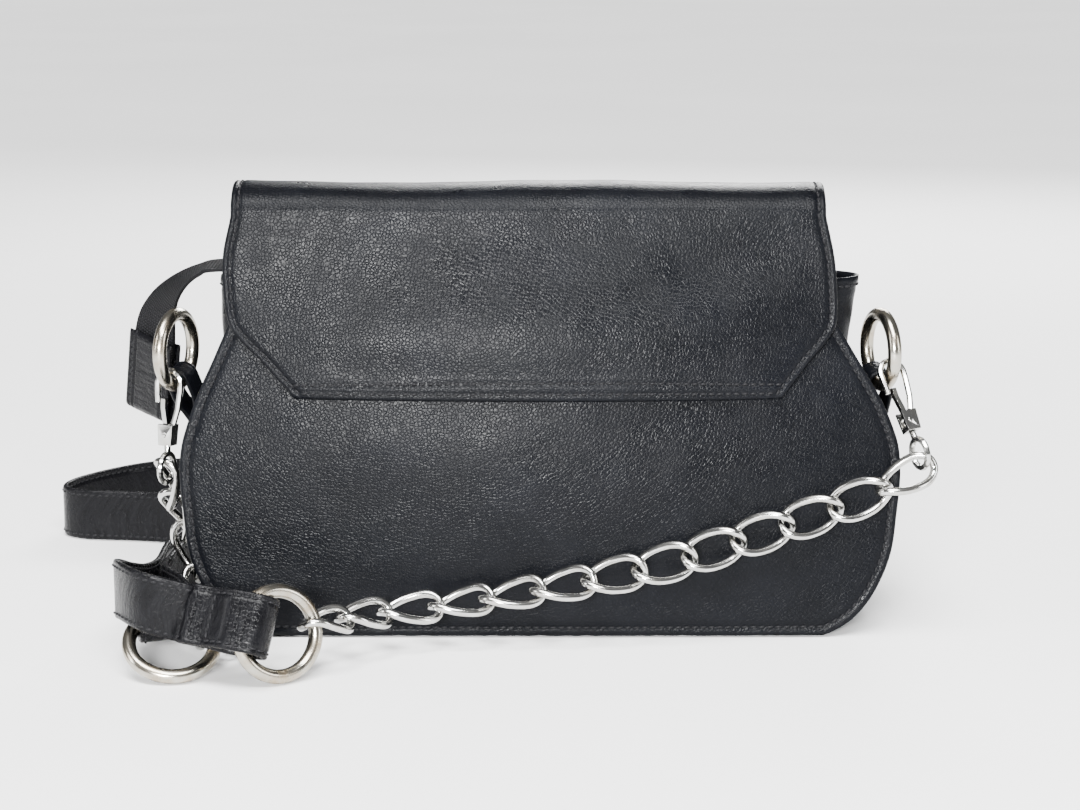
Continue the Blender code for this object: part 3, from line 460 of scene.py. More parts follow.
def tape_rows():
    height = GUSSET_TOP + 1.0 * MM + TAPE_THICKNESS / 2
    across = Vector((0, 1, 0))
    reach = TAPE_REACH * HALF_WIDTH
    rim = -gusset_side(GUSSET_TOP, 0)
    rows = []
    for share in TAPE_INSIDE:
        rows.append((Vector((lean_at(height) + reach * share, 0, height)), across))
    for row in TAPE_SECTIONS:
        place = Vector((rim - row["out"] * TAPE_TAIL, row["back"] * TAPE_TAIL,
                        height - row["down"] * TAPE_TAIL))
        turn = radians(row["turn"])
        rows.append((place, Vector((-sin(turn), cos(turn), 0))))
    return rows


def ring_frame(centre, yaw, lean):
    """Centre with the ring's own right, up and normal directions."""
    turn, tip = radians(yaw), radians(lean)
    right = Vector((cos(turn), sin(turn), 0))
    back = Vector((-sin(turn), cos(turn), 0))
    up = UP * cos(tip) + back * sin(tip)
    return {"centre": centre, "right": right, "up": up, "normal": right.cross(up)}


def ring_point(ring, inner, degrees):
    """A point on the middle of the ring's wire, and the wire's direction there."""
    angle = radians(degrees)
    radius = (inner + RING_WIRE) / 2
    place = ring["centre"] + (ring["right"] * cos(angle)
                              + ring["up"] * sin(angle)) * radius
    along = ring["up"] * cos(angle) - ring["right"] * sin(angle)
    return place, along


def ring_on_floor(row):
    radius = (STRAP_RING_INNER + RING_WIRE) / 2
    height = radius * cos(radians(row["lean"])) + RING_WIRE / 2 + FLOOR_GAP
    centre = Vector((row["x"] * HALF_WIDTH, row["y"] * HALF_WIDTH, height))
    return ring_frame(centre, row["yaw"], row["lean"])


def axes_matrix(origin, x_axis, y_axis, z_axis):
    place = Matrix((x_axis, y_axis, z_axis)).transposed().to_4x4()
    place.translation = origin
    return place


def side_ring(side):
    out = RIGHT_RING_OUT if side > 0 else LEFT_RING_OUT
    yaw = RIGHT_RING_YAW if side > 0 else LEFT_RING_YAW
    return ring_frame(Vector((side * out, SIDE_RING_Y, SIDE_RING_HEIGHT)), yaw, 0)


def half_turn(centre, facing, along, radius, steps):
    """Points of a half circle from the facing side over the end to the other."""
    return [centre + facing * radius * cos(pi * step / steps)
            + along * radius * sin(pi * step / steps) for step in range(steps + 1)]


def square_to(vector, along):
    return (vector - along * vector.dot(along)).normalized()


def wire_sag(inner, width):
    """How far a ring's hole bends away from a straight band across it."""
    return inner / 2 - sqrt((inner / 2) ** 2 - (width / 2) ** 2)


def loop_rows(ring, degrees, toward, fold):
    """Rows of a strap end that wraps a ring's wire, free end first.

    `toward` is the way that the strap leaves the ring and `fold` is how far
    the turned-back layer reaches.
    """
    place, along = ring_point(ring, STRAP_RING_INNER, degrees)
    sag = (ring["centre"] - place).normalized() * wire_sag(STRAP_RING_INNER, STRAP_WIDTH)
    across = along if along.z >= 0 else -along
    toward = square_to(toward, across)
    facing = across.cross(toward).normalized()
    slip = facing * sag.dot(facing)
    sink = toward * sag.dot(toward)
    turn = RING_WIRE / 2 + GAP + STRAP_THICKNESS / 2 + slip.length / 2
    near = (STRAP_THICKNESS + GAP) / 2
    middle = place + slip / 2
    layers = []
    for step in range(LOOP_ROWS + 1):
        share = 1.0 - 0.9 * step / LOOP_ROWS
        spread = near + (turn - near) * smoothstep((0.62 - share) / 0.5)
        layers.append((middle + toward * fold * share, facing * spread))
    rows = [centre + spread for centre, spread in layers]
    rows += half_turn(middle + sink, facing, -toward, turn, LOOP_TURN)
    rows += [centre - spread for centre, spread in reversed(layers)]
    return [(point, across) for point in rows]


def strap_point(row):
    tilt = row["stand"] * pi / 2
    height = (STRAP_WIDTH / 2 * sin(tilt) + STRAP_THICKNESS / 2 * cos(tilt)
              + row["lift"] * STRAP_WIDTH + FLOOR_GAP)
    return Vector((row["x"] * HALF_WIDTH, row["y"] * HALF_WIDTH, height))


def strap_rows(front_ring, back_ring):
    """Middle line of the whole strap with the direction across it."""
    route = [strap_point(row) for row in STRAP_ROUTE]
    toward = route[0] - ring_point(front_ring, STRAP_RING_INNER, FRONT_LOOP_DEGREES)[0]
    first = loop_rows(front_ring, FRONT_LOOP_DEGREES, toward, FRONT_LOOP_FOLD * STRAP_FOLD)
    last = loop_rows(back_ring, BACK_LOOP_DEGREES, BACK_LOOP_TOWARD,
                     BACK_LOOP_FOLD * STRAP_FOLD)
    last.reverse()
    stands = ([Vector((1, 0, 0))] + [Vector((row["stand"], 0, 0)) for row in STRAP_ROUTE]
              + [Vector((0, 0, 0))])
    path = smooth_route([first[-1][0]] + route + [last[0][0]], STRAP_STEPS)
    turns = smooth_route(stands, STRAP_STEPS)
    rows = list(first)
    for index in range(1, len(path) - 1):
        along = (path[index + 1] - path[index - 1]).normalized()
        level = Vector((-along.y, along.x, 0)).normalized()
        tilt = min(max(turns[index].x, 0.0), 1.0) * pi / 2
        across = square_to(UP * sin(tilt) + level * cos(tilt), along)
        rows.append((path[index], across))
    for point, across in last:
        if across.dot(rows[-1][1]) < 0:
            across = -across
        rows.append((point, across))
    return rows


# Building helpers

def put(name, data):
    """A new object of the scene that shows the data."""
    made = bpy.data.objects.new(name, data)
    bpy.context.scene.collection.objects.link(made)
    return made


def add_mesh(name, verts, faces, skin, smooth=True):
    mesh = bpy.data.meshes.new(name)
    mesh.from_pydata([tuple(point) for point in verts], [], faces)
    mesh.validate()
    work = bmesh.new()
    work.from_mesh(mesh)
    bmesh.ops.recalc_face_normals(work, faces=work.faces)
    work.to_mesh(mesh)
    work.free()
    if smooth:
        mesh.shade_smooth()
    mesh.materials.append(skin)
    return put(name, mesh)


def finish_piece(piece, look, *nodes, body="bag"):
    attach(piece, body)
    if nodes:
        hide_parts(*nodes)


def unit(vectors):
    length = np.linalg.norm(vectors, axis=-1, keepdims=True)
    return vectors / np.maximum(length, 1e-12)


def measure(rows, side):
    """A grid of points with its normals and the distances along and across it."""
    grid = np.array([[tuple(point) for point in row] for row in rows], float)
    down = np.cumsum(np.linalg.norm(np.diff(grid, axis=0), axis=2), axis=0)
    over = np.cumsum(np.linalg.norm(np.diff(grid, axis=1), axis=2), axis=1)
    down = np.vstack([np.zeros((1, grid.shape[1])), down])
    over = np.hstack([np.zeros((grid.shape[0], 1)), over])
    normals = unit(np.cross(np.gradient(grid, axis=0), np.gradient(grid, axis=1))) * side
    edge = np.minimum.reduce([down, down[-1:] - down, over, over[:, -1:] - over])
    return {"grid": grid, "normals": normals, "down": down, "over": over, "edge": edge}


def from_sides(patch):
    """Distance of each point of a grid from the nearer of its two long edges."""
    return np.minimum(patch["over"], patch["over"][:, -1:] - patch["over"])


def face_toward(patch, row, column, way):
    """Turns a sheet's outer face to the side that `way` points to."""
    if Vector(patch["normals"][row, column]).dot(way) < 0:
        patch["normals"] = -patch["normals"]


def even_rows(path, across, width, columns):
    """Grid of a straight-edged band along a path, its columns evenly spaced."""
    return [[point + across * width * (column / columns - 0.5)
             for column in range(columns + 1)] for point in path]


def edge_rows(centres, ways, width, columns):
    """Grid of a band whose columns lie closer together at its edges."""
    return [[centre - way * width / 2 * cos(pi * column / columns)
             for column in range(columns + 1)] for centre, way in zip(centres, ways)]


def groove(distance, at, width=0.8 * MM, depth=STITCH_GROOVE):
    """Depth of the furrow that a row of stitches pulls into the leather."""
    return -depth * np.exp(-((distance - at) / width) ** 2)


def rim_of(rows, columns):
    """Numbers of a grid's edge points, once round."""
    rim = ([(0, column) for column in range(columns)]
           + [(row, columns - 1) for row in range(1, rows)]
           + [(rows - 1, column) for column in range(columns - 2, -1, -1)]
           + [(row, 0) for row in range(rows - 2, 0, -1)])
    return [row * columns + column for row, column in rim]


def shell(name, patch, thickness, look, relief=0.0, *nodes):
    """A closed sheet with rounded edges over a measured grid, as a finished piece."""
    edge = np.minimum(patch["edge"] / (0.5 * thickness), 1.0)
    half = thickness / 2 * (0.3 + 0.7 * np.sqrt(1 - (1 - edge) ** 2))
    outer = patch["grid"] + patch["normals"] * (half + relief)[..., None]
    inner = patch["grid"] - patch["normals"] * half[..., None]
    patch["outer"] = outer
    rows, columns = half.shape
    total = rows * columns
    faces = []
    for row in range(rows - 1):
        for column in range(columns - 1):
            first = row * columns + column
            face = (first, first + 1, first + columns + 1, first + columns)
            faces.append(face)
            faces.append(tuple(total + corner for corner in reversed(face)))
    rim = rim_of(rows, columns)
    for first, second in zip(rim, rim[1:] + rim[:1]):
        faces.append((first, second, total + second, total + first))
    verts = np.vstack([outer.reshape(-1, 3), inner.reshape(-1, 3)])
    made = add_mesh(name, verts, faces, LOOKS[look])
    add_uv(made, np.tile(patch["over"].reshape(-1), 2), np.tile(patch["down"].reshape(-1), 2))
    finish_piece(made, look, *nodes)


def add_uv(piece, across, along):
    """Distances across and along a sheet in centimetres, for weave and creases."""
    layer = piece.data.uv_layers.new(name="length")
    corners = np.zeros(len(piece.data.loops), int)
    piece.data.loops.foreach_get("vertex_index", corners)
    pairs = np.stack([across[corners], along[corners]], axis=1) * 100
    layer.data.foreach_set("uv", pairs.reshape(-1))


def place_on(patch, row, column):
    """Point and normal on a shell's outer face at a fractional row and column."""
    last_row, last_column = np.array(patch["edge"].shape) - 1
    row = min(max(row, 0.0), last_row - 1e-6)
    column = min(max(column, 0.0), last_column - 1e-6)
    low, left = int(row), int(column)
    up, right = row - low, column - left

    def mix(values):
        return ((values[low, left] * (1 - right) + values[low, left + 1] * right) * (1 - up)
                + (values[low + 1, left] * (1 - right) + values[low + 1, left + 1] * right) * up)

    return Vector(mix(patch["outer"])), Vector(mix(patch["normals"])).normalized()


def column_at(patch, row, distance):
    """Column that lies a distance from the grid's left edge, in a whole row."""
    line = patch["over"][row]
    return float(np.interp(distance, line, np.arange(len(line))))


def row_at(patch, column, distance):
    line = patch["down"][:, column]
    return float(np.interp(distance, line, np.arange(len(line))))


def stitch_path(path, pitch):
    """Places at an even pitch along (point, normal) pairs, with the way along."""
    lengths = [0.0]
    for (first, _), (second, _) in zip(path, path[1:]):
        lengths.append(lengths[-1] + (second - first).length)
    count = max(int(lengths[-1] / pitch), 1)
    places = []
    index = 0
    for step in range(count):
        distance = (step + 0.5) * lengths[-1] / count
        while lengths[index + 1] < distance:
            index += 1
        share = (distance - lengths[index]) / (lengths[index + 1] - lengths[index])
        point = path[index][0].lerp(path[index + 1][0], share)
        normal = path[index][1].lerp(path[index + 1][1], share).normalized()
        along = (path[index + 1][0] - path[index][0]).normalized()
        places.append((point, normal, along))
    return places


def add_stitch(verts, faces, point, normal, along):
    """One stitch of thread, dipping into its two holes."""
    along = (along + normal.cross(along) * STITCH_SLANT).normalized()
    aside = along.cross(normal).normalized()
    base = len(verts)
    for row in STITCH_PROFILE:
        middle = point + along * row["share"] * STITCH_LENGTH + normal * row["lift"] * THREAD
        for step in range(STITCH_SIDES):
            angle = 2 * pi * step / STITCH_SIDES
            verts.append(middle + (aside * cos(angle) + normal * sin(angle))
                         * row["size"] * THREAD)
    for ring in range(base, len(verts) - STITCH_SIDES, STITCH_SIDES):
        for step in range(STITCH_SIDES):
            first = ring + step
            second = ring + (step + 1) % STITCH_SIDES
            faces.append((first, second, second + STITCH_SIDES, first + STITCH_SIDES))
    faces.append(tuple(range(base, base + STITCH_SIDES)))
    faces.append(tuple(range(len(verts) - STITCH_SIDES, len(verts))))


def make_stitches(name, paths, pitch=STITCH_PITCH):
    """Rows of thread stitches as one piece."""
    verts = []
    faces = []
    for path in paths:
        for point, normal, along in stitch_path(path, pitch):
            add_stitch(verts, faces, point, normal, along)
    finish_piece(add_mesh(name, verts, faces, LOOKS["thread"]), "thread")


# Looks

def node_material(name, colour, roughness, metallic=0.0):
    made = bpy.data.materials.new(name)
    made.use_nodes = True
    shader = made.node_tree.nodes["Principled BSDF"]
    shader.inputs["Base Color"].default_value = (*colour, 1)
    shader.inputs["Roughness"].default_value = roughness
    shader.inputs["Metallic"].default_value = metallic
    shader.inputs["Specular IOR Level"].default_value = 0.5 if metallic else SHEEN_LEVEL
    return made, made.node_tree, shader


def add_node(tree, kind, links=(), **values):
    """A node with its sockets set by name, and its inputs linked from others."""
    made = tree.nodes.new(kind)
    for key, value in values.items():
        setattr(made, key, value)
    for socket, source in links:
        if isinstance(source, bpy.types.NodeSocket):
            tree.links.new(source, made.inputs[socket])
        else:
            made.inputs[socket].default_value = source
    return made


def texture_place(tree, kind="Object", scale=(1, 1, 1)):
    place = add_node(tree, "ShaderNodeTexCoord")
    return add_node(tree, "ShaderNodeMapping",
                    [("Vector", place.outputs[kind]), ("Scale", scale)]).outputs["Vector"]


def ramp(tree, source, stops):
    """Colours or greys along a value: (place, colour) pairs."""
    made = add_node(tree, "ShaderNodeValToRGB", [("Fac", source)])
    while len(made.color_ramp.elements) < len(stops):
        made.color_ramp.elements.new(0.5)
    for element, (place, colour) in zip(made.color_ramp.elements, stops):
        element.position = place
        element.color = (*colour, 1) if isinstance(colour, tuple) else (colour,) * 3 + (1,)
    return made.outputs["Color"]


def noise_value(tree, place, scale, detail, roughness=0.55):
    return add_node(tree, "ShaderNodeTexNoise", [
        ("Vector", place), ("Scale", scale), ("Detail", detail),
        ("Roughness", roughness)]).outputs["Fac"]


def cell_edges(tree, place, scale):
    """Distance from the walls between small random cells."""
    return add_node(tree, "ShaderNodeTexVoronoi", [("Vector", place), ("Scale", scale)],
                    feature="DISTANCE_TO_EDGE").outputs["Distance"]


def wave(tree, place, scale, distortion, direction):
    return add_node(tree, "ShaderNodeTexWave", [
        ("Vector", place), ("Scale", scale), ("Distortion", distortion), ("Detail", 1.0)],
        bands_direction=direction).outputs["Fac"]


def product(tree, first, second):
    return add_node(tree, "ShaderNodeMath", [(0, first), (1, second)],
                    operation="MULTIPLY").outputs["Value"]


def tone(colour, strength):
    return tuple(strength * part for part in colour)


def dress(look, shade=None, gloss=None, bumps=()):
    """Links colour, roughness and bumps of (height, strength, size) to a look."""
    made, tree, shader = look
    normal = None
    for height, strength, size in bumps:
        links = [("Height", height), ("Strength", strength), ("Distance", size)]
        if normal is not None:
            links.append(("Normal", normal))
        normal = add_node(tree, "ShaderNodeBump", links).outputs["Normal"]
    for socket, source in (("Base Color", shade), ("Roughness", gloss), ("Normal", normal)):
        if source is not None:
            tree.links.new(source, shader.inputs[socket])
    return made


def grained_leather(name, colour, roughness, grain):
    """Leather whose grain is cells with soft valleys, over larger swells."""
    look = node_material(name, colour, roughness)
    tree = look[1]
    place = texture_place(tree)
    shift = product(tree, noise_value(tree, place, 0.35 * grain, 2.0), 0.3 / grain)
    bent = add_node(tree, "ShaderNodeVectorMath", [(0, place), (1, shift)], operation="ADD")
    cells = cell_edges(tree, bent.outputs["Vector"], grain)
    pebbles = ramp(tree, cells, ((0.0, 0.0), (0.14, 0.62), (0.42, 1.0)))
    swells = noise_value(tree, place, 38, 5.0)
    pores = noise_value(tree, place, 4 * grain, 3.0)
    # Painted shade and light: the colour follows the swells' height, darker in their hollows and
    # lighter on their crests.
    shade = ramp(tree, swells, ((0.30, tone(colour, 0.80)), (0.55, colour),
                                (0.75, tone(colour, 1.35))))
    # Painted shade: the colour is darkened in the valleys between the grain's cells.
    valley_shade = ramp(tree, cells, ((0.0, 0.62), (0.10, 1.0)))
    shaded_colour = add_node(tree, "ShaderNodeMix", [("Factor", 1.0), ("A", shade), ("B", valley_shade)],
                     data_type="RGBA", blend_type="MULTIPLY")
    gloss = ramp(tree, noise_value(tree, place, 90, 4.0),
                 ((0.30, roughness - 0.06), (0.70, roughness + 0.09)))
    return dress(look, shaded_colour.outputs["Result"], gloss, (
        (swells, 0.35, WRINKLE), (pebbles, 0.9, GRAIN_HEIGHT), (pores, 0.10, PORE_HEIGHT)))


def creased_leather(name, colour, roughness):
    """Glossy leather of the strap, with creases across its length."""
    look = node_material(name, colour, roughness)
    tree, shader = look[1:]
    creases = noise_value(tree, texture_place(tree, "UV", (0.5, 2.2, 1.0)), 2.4, 5.0, 0.62)
    cells = cell_edges(tree, texture_place(tree), 620)
    pebbles = ramp(tree, cells, ((0.0, 0.0), (0.12, 0.8), (0.4, 1.0)))
    gloss = ramp(tree, creases, ((0.35, roughness - 0.06), (0.7, roughness + 0.14)))
    # Painted shade and highlight: the colour follows the creases' height, darker in their
    # hollows and lighter along their ridges.
    shade = ramp(tree, creases, ((0.3, tone(colour, 0.7)), (0.7, tone(colour, 1.6))))
    shader.inputs["Coat Weight"].default_value = 0.06
    shader.inputs["Coat Roughness"].default_value = 0.16
    return dress(look, shade, gloss, (
        (creases, 0.6, STRAP_WRINKLE), (pebbles, 0.35, STRAP_GRAIN_HEIGHT)))


def woven_tape(name, colour):
    look = node_material(name, colour, 0.62)
    tree = look[1]
    place = texture_place(tree, "UV")
    weave = product(tree, wave(tree, place, 2.2, 0.4, "X"), wave(tree, place, 2.6, 0.6, "Y"))
    # Painted shade and light: the colour follows the weave's height, darker between the threads
    # and lighter on their tops.
    shade = ramp(tree, weave, ((0.0, tone(colour, 0.5)), (1.0, tone(colour, 1.9))))
    return dress(look, shade, bumps=((weave, 1.0, WEAVE_HEIGHT),))


def worn_metal(name, colour, tarnish, roughness):
    """Plated metal with fine scratches and warm tarnish in patches."""
    look = node_material(name, colour, roughness, 1.0)
    tree = look[1]
    patches = noise_value(tree, texture_place(tree), 160, 6.0, 0.6)
    between = tuple((clean + dull) / 2 for clean, dull in zip(colour, tarnish))
    shade = ramp(tree, patches, ((0.40, colour), (0.62, between), (0.80, tarnish)))
    gloss = ramp(tree, patches, ((0.35, roughness), (0.75, roughness + 0.16)))
    scratches = noise_value(tree, texture_place(tree, scale=(1, 1, 4)), 900, 3.0)
    return dress(look, shade, gloss, ((scratches, 0.12, SCRATCH_HEIGHT),))


def twisted_thread(name, colour):
    look = node_material(name, colour, 0.38)
    twist = noise_value(look[1], texture_place(look[1]), 2600, 2.0)
    return dress(look, bumps=((twist, 0.5, THREAD_TWIST),))


def make_looks():
    return {
        "thread": twisted_thread("black thread", (0.010, 0.010, 0.011)),
        "leather": grained_leather("black grained leather", (0.0026, 0.0029, 0.0040), 0.31, 860),
        "glossy": creased_leather("black glossy leather", (0.0028, 0.0028, 0.0034), 0.22),
        "tape": woven_tape("black tape", (0.006, 0.006, 0.007)),
        "nickel": worn_metal("nickel", (0.42, 0.40, 0.35), (0.26, 0.19, 0.11), 0.17),
        "steel": worn_metal("chain steel", (0.54, 0.54, 0.53), (0.34, 0.32, 0.28), 0.12),
    }


LOOKS = make_looks()


# Panels

def fine_heights():
    """Heights up a panel, close together where its outline turns fast."""
    heights = []
    for low, high in zip(PANEL_SECTIONS, PANEL_SECTIONS[1:]):
        rise = (high["height"] - low["height"]) * PANEL_HEIGHT
        widen = (high["half_width"] - low["half_width"]) * HALF_WIDTH
        steps = ceil(hypot(rise, widen) / FINE_STEP)
        heights += [low["height"] + (high["height"] - low["height"]) * step / steps
                    for step in range(steps)]
    return heights + [1.0]


def dents_at(table, x, z):
    """Sum of the soft pushes in a table at a point of a panel or the flap."""
    total = 0.0
    for row in table:
        across = (x / HALF_WIDTH - row["x"]) / row["wide"]
        up = z / PANEL_HEIGHT - row["height"] - row["slope"] * (x / HALF_WIDTH - row["x"])
        total += row["push"] * MM * exp(-across ** 2 - (up / row["tall"]) ** 2)
    return total


def panel_grid(surface, side, dents):
    rows = []
    for share in fine_heights():
        z = max(share * PANEL_HEIGHT, PANEL_LIFT)
        row = []
        for step in range(PANEL_COLUMNS + 1):
            across = sin((step / PANEL_COLUMNS - 0.5) * pi)
            x = lean_at(z) + half_width_at(z) * across
            fade = 1 - across ** 8
            push = dents_at(dents, x, z) * fade * smoothstep(z / (12 * MM))
            row.append(Vector((x, surface(x, z) + side * (LEATHER / 2 - push), z)))
        rows.append(row)
    return rows


def outline_of(heights, floor, steps):
    """Outline as (x, height) pairs from the left top down, along and up again."""
    right = [(half_width_at(z), z) for z in heights]
    left = [(-x, z) for x, z in reversed(right)]
    bottom = [(right[0][0] * step / steps, floor) for step in range(1 - steps, steps)]
    return left + bottom + right


def panel_outline():
    heights = [max(share * PANEL_HEIGHT, PANEL_LIFT) for share in fine_heights()]
    return [Vector((x, z, 0)) for x, z in outline_of(heights, PANEL_LIFT, PANEL_FLOOR_STEPS)]


def inset_line(points, distance):
    """The outline moved inward, smoothed where it turns a corner."""
    moved = []
    for index, point in enumerate(points):
        along = points[min(index + 3, len(points) - 1)] - points[max(index - 3, 0)]
        along.normalize()
        moved.append(point + Vector((-along.y, along.x, 0)) * distance)
    return moved


def outline_distance(grid):
    """Distance of each point of a panel grid from the panel's outline."""
    outline = panel_outline()
    tree = kdtree.KDTree(len(outline) * 4)
    count = 0
    for first, second in zip(outline, outline[1:] + outline[-1:]):
        for quarter in range(4):
            tree.insert(first.lerp(second, quarter / 4), count)
            count += 1
    tree.balance()
    found = np.zeros(grid.shape[:2])
    for row, line in enumerate(grid):
        for column, (x, _, z) in enumerate(line):
            found[row, column] = tree.find(Vector((x - lean_at(z), z, 0)))[2]
    return found


def place_on_panel(patch, x, z):
    heights = np.array(fine_heights()) * PANEL_HEIGHT
    row = float(np.interp(z, heights, np.arange(len(heights))))
    across = min(max(x / half_width_at(z), -1.0), 1.0)
    return place_on(patch, row, (asin(across) / pi + 0.5) * PANEL_COLUMNS)


def make_panel(name, surface, side, dents):
    patch = measure(panel_grid(surface, side, dents), -side)
    distance = outline_distance(patch["grid"])
    patch["edge"] = distance
    relief = groove(distance, PANEL_INSET) - 0.25 * MM * np.exp(-distance / (2 * MM))
    relief += swell_of(patch, 0.10 * MM, 9 * MM)
    shell(name + "_leather", patch, LEATHER, "leather", relief, name)
    path = [place_on_panel(patch, point.x, point.y)
            for point in inset_line(panel_outline(), PANEL_INSET)
            if point.y < 0.93 * PANEL_HEIGHT]
    make_stitches(name + "_stitches", [path])


def swell_of(patch, height, size):
    """Slight unevenness with waves of about `size`, kept off a face's edges."""
    grid = patch["grid"]
    swell = np.array([[noise.noise(Vector(point) / size) for point in row] for row in grid])
    return height * swell * np.minimum(patch["edge"] / (6 * MM), 1.0)


# Gusset

def gusset_profile():
    """Fine outline of the gusset from its left end round to its right end."""
    heights = [share * PANEL_HEIGHT for share in fine_heights()]
    heights = [z for z in heights if z < GUSSET_TOP - 0.5 * MM] + [GUSSET_TOP]
    return [Vector((x, 0, z)) for x, z in outline_of(heights, 0, GUSSET_FLOOR_STEPS)]


def gusset_frames():
    """Each outline point with the way outward from the bag there."""
    points = gusset_profile()
    frames = []
    for index, point in enumerate(points):
        along = points[min(index + 1, len(points) - 1)] - points[max(index - 1, 0)]
        along.normalize()
        outward = Vector((along.z, 0, -along.x)) if point.z > 0 else Vector((0, 0, -1))
        frames.append((point, outward))
    return frames


def web_row(point, outward):
    """The gusset between its folds at one point of the outline."""
    side = copysign(1, point.x) if point.z > 0 else 0
    seam = point - outward * (margin_at(point.z) + GUSSET_THICKNESS / 2)
    share = gusset_bulge(point.z) / GUSSET_BULGE
    row = []
    for step in range(GUSSET_STEPS + 1):
        across = -cos(pi * step / GUSSET_STEPS)
        arch = gusset_arch(across)
        lean = lean_at(point.z) * (1 - share * arch)
        crease = -1.2 * MM * exp(-(across / 0.18) ** 2) * (1 - share) * smoothstep(
            point.z / (40 * MM))
        stand = side * (gusset_bulge(point.z) * arch + crease)
        row.append(seam + Vector((stand + lean, across * web_depth(point.z), 0)))
    return row


def flange_row(point, outward, end):
    """One turned-out edge of the gusset, from its fold to the panel's edge."""
    fold = web_row(point, outward)[end]
    reach = margin_at(point.z) - FLANGE_SHY
    return [fold + outward * reach * step / FLANGE_STEPS for step in range(FLANGE_STEPS + 1)]


def gusset_hem_line(patch, at_end):
    """Stitch places along the gusset's hem at its start or its end."""
    path = []
    for column in range(3, GUSSET_STEPS - 2):
        length = patch["down"][-1, column]
        distance = length - GUSSET_HEM if at_end else GUSSET_HEM
        path.append(place_on(patch, row_at(patch, column, distance), column))
    return path


def has_flange(point, side):
    """Whether the gusset stands out as a flange at an outline point of one side."""
    return (side * point.x > 0 and point.z > 0 and margin_at(point.z) > 0.25 * SEAM_MARGIN
            and gusset_bulge(point.z) < 0.2 * GUSSET_BULGE)


def make_gusset():
    frames = gusset_frames()
    patch = measure([web_row(point, outward) for point, outward in frames], -1)
    from_end = patch["down"][-1:] - patch["down"]
    relief = (groove(patch["down"], GUSSET_HEM) + groove(from_end, GUSSET_HEM)
              + swell_of(patch, 0.25 * MM, 14 * MM))
    shell("gusset_web", patch, GUSSET_THICKNESS, "leather", relief, "gusset")
    make_stitches("gusset_hem_stitches",
                  [gusset_hem_line(patch, at_end) for at_end in (False, True)])
    for end, name in ((0, "front"), (-1, "back")):
        for side, word in ((-1, "left"), (1, "right")):
            rows = [flange_row(point, outward, end) for point, outward in frames
                    if has_flange(point, side)]
            shell(f"gusset_edge_{name}_{word}", measure(rows, 1), FLANGE_THICKNESS, "leather")


# Flap

def flap_levels():
    """Rows of the flap: distance down as a share of its drop, height, arc angle."""
    levels = []
    for step in range(FLAP_BACK_ROWS):
        share = 1 - step / FLAP_BACK_ROWS
        levels.append({"drop": -0.4 * share, "z": PANEL_HEIGHT - FLAP_BACK * share,
                       "arc": None})
    for step in range(FLAP_ARC_ROWS + 1):
        levels.append({"drop": 0.0, "z": PANEL_HEIGHT, "arc": pi * step / FLAP_ARC_ROWS})
    for step in range(1, FLAP_FRONT_ROWS + 1):
        share = step / FLAP_FRONT_ROWS
        levels.append({"drop": share, "z": PANEL_HEIGHT - (FLAP_DROP - FLAP_RISE) * share,
                       "arc": None})
    return levels


def flap_half_width(row):
    return FLAP_WIDTH / 2 * read_table(FLAP_SECTIONS, "drop", row["drop"], "half_width")


def flap_point(row, across):
    x = lean_at(row["z"]) + flap_half_width(row) * across
    front = front_y(x, row["z"]) - flap_clear()
    back = back_y(x, row["z"]) + flap_clear()
    if row["arc"] is not None:
        middle, radius = (front + back) / 2, (back - front) / 2
        rise = flap_clear() + FLAP_RISE
        wave = 1 + 0.06 * sin(5.2 * across + 0.8) * sin(row["arc"])
        return Vector((x, middle + radius * cos(row["arc"]),
                       row["z"] + rise * wave * sin(row["arc"])))
    if row["drop"] < 0:
        return Vector((x, back, row["z"]))
    push = dents_at(FLAP_DENTS, x, row["z"]) * (1 - across ** 6)
    return Vector((x, front - push * smoothstep(row["drop"] / 0.1), row["z"]))


def flap_slopes(levels):
    """Cosine of the outline's slope in each row of the flap."""
    halves = [flap_half_width(row) for row in levels]
    cosines = []
    for index in range(len(levels)):
        low, high = max(index - 1, 0), min(index + 1, len(levels) - 1)
        fall = (levels[high]["drop"] - levels[low]["drop"]) * FLAP_DROP
        widen = halves[high] - halves[low]
        cosines.append(abs(fall) / hypot(fall, widen) if fall else 1.0)
    return np.array(cosines)


def flap_relief(patch, sides, bottom):
    """Furrows of the stitches, the raised hem and a slight unevenness."""
    ends = np.minimum(sides, patch["down"])
    relief = groove(patch["edge"], FLAP_INSET) - 0.15 * MM * np.exp(-patch["edge"] / (1.5 * MM))
    inside = np.clip((ends - FLAP_INSET) / (1.5 * MM), 0, 1)
    band = np.clip((HEM_DEPTH - bottom) / (0.5 * MM) + 0.5, 0, 1)
    relief = relief + 0.45 * MM * band * inside + groove(bottom, HEM_ROW) * inside * 1.2
    return relief + swell_of(patch, 0.22 * MM, 17 * MM)


def make_flap():
    levels = flap_levels()
    rows = [[flap_point(row, sin((step / FLAP_COLUMNS - 0.5) * pi))
             for step in range(FLAP_COLUMNS + 1)] for row in levels]
    patch = measure(rows, 1)
    cosines = flap_slopes(levels)
    sides = from_sides(patch) * cosines[:, None]
    bottom = patch["down"][-1:] - patch["down"]
    patch["edge"] = np.minimum.reduce([sides, bottom, patch["down"]])
    relief = flap_relief(patch, sides, bottom)
    shell("leather_flap", patch, FLAP_THICKNESS, "leather", relief, "flap")
    make_stitches("flap_stitches", flap_stitch_lines(patch, cosines))


def flap_row_line(patch, distance):
    """Stitch places across the flap at a distance from its lower edge."""
    rows, columns = patch["edge"].shape
    path = []
    for column in range(columns):
        from_bottom = (patch["down"][-1:] - patch["down"])[::-1, column]
        row = rows - 1 - float(np.interp(distance, from_bottom, np.arange(rows)))
        near = min(column, columns - 1 - column)
        if patch["over"][int(row), near] > 1.25 * FLAP_INSET:
            path.append(place_on(patch, row, column))
    return path


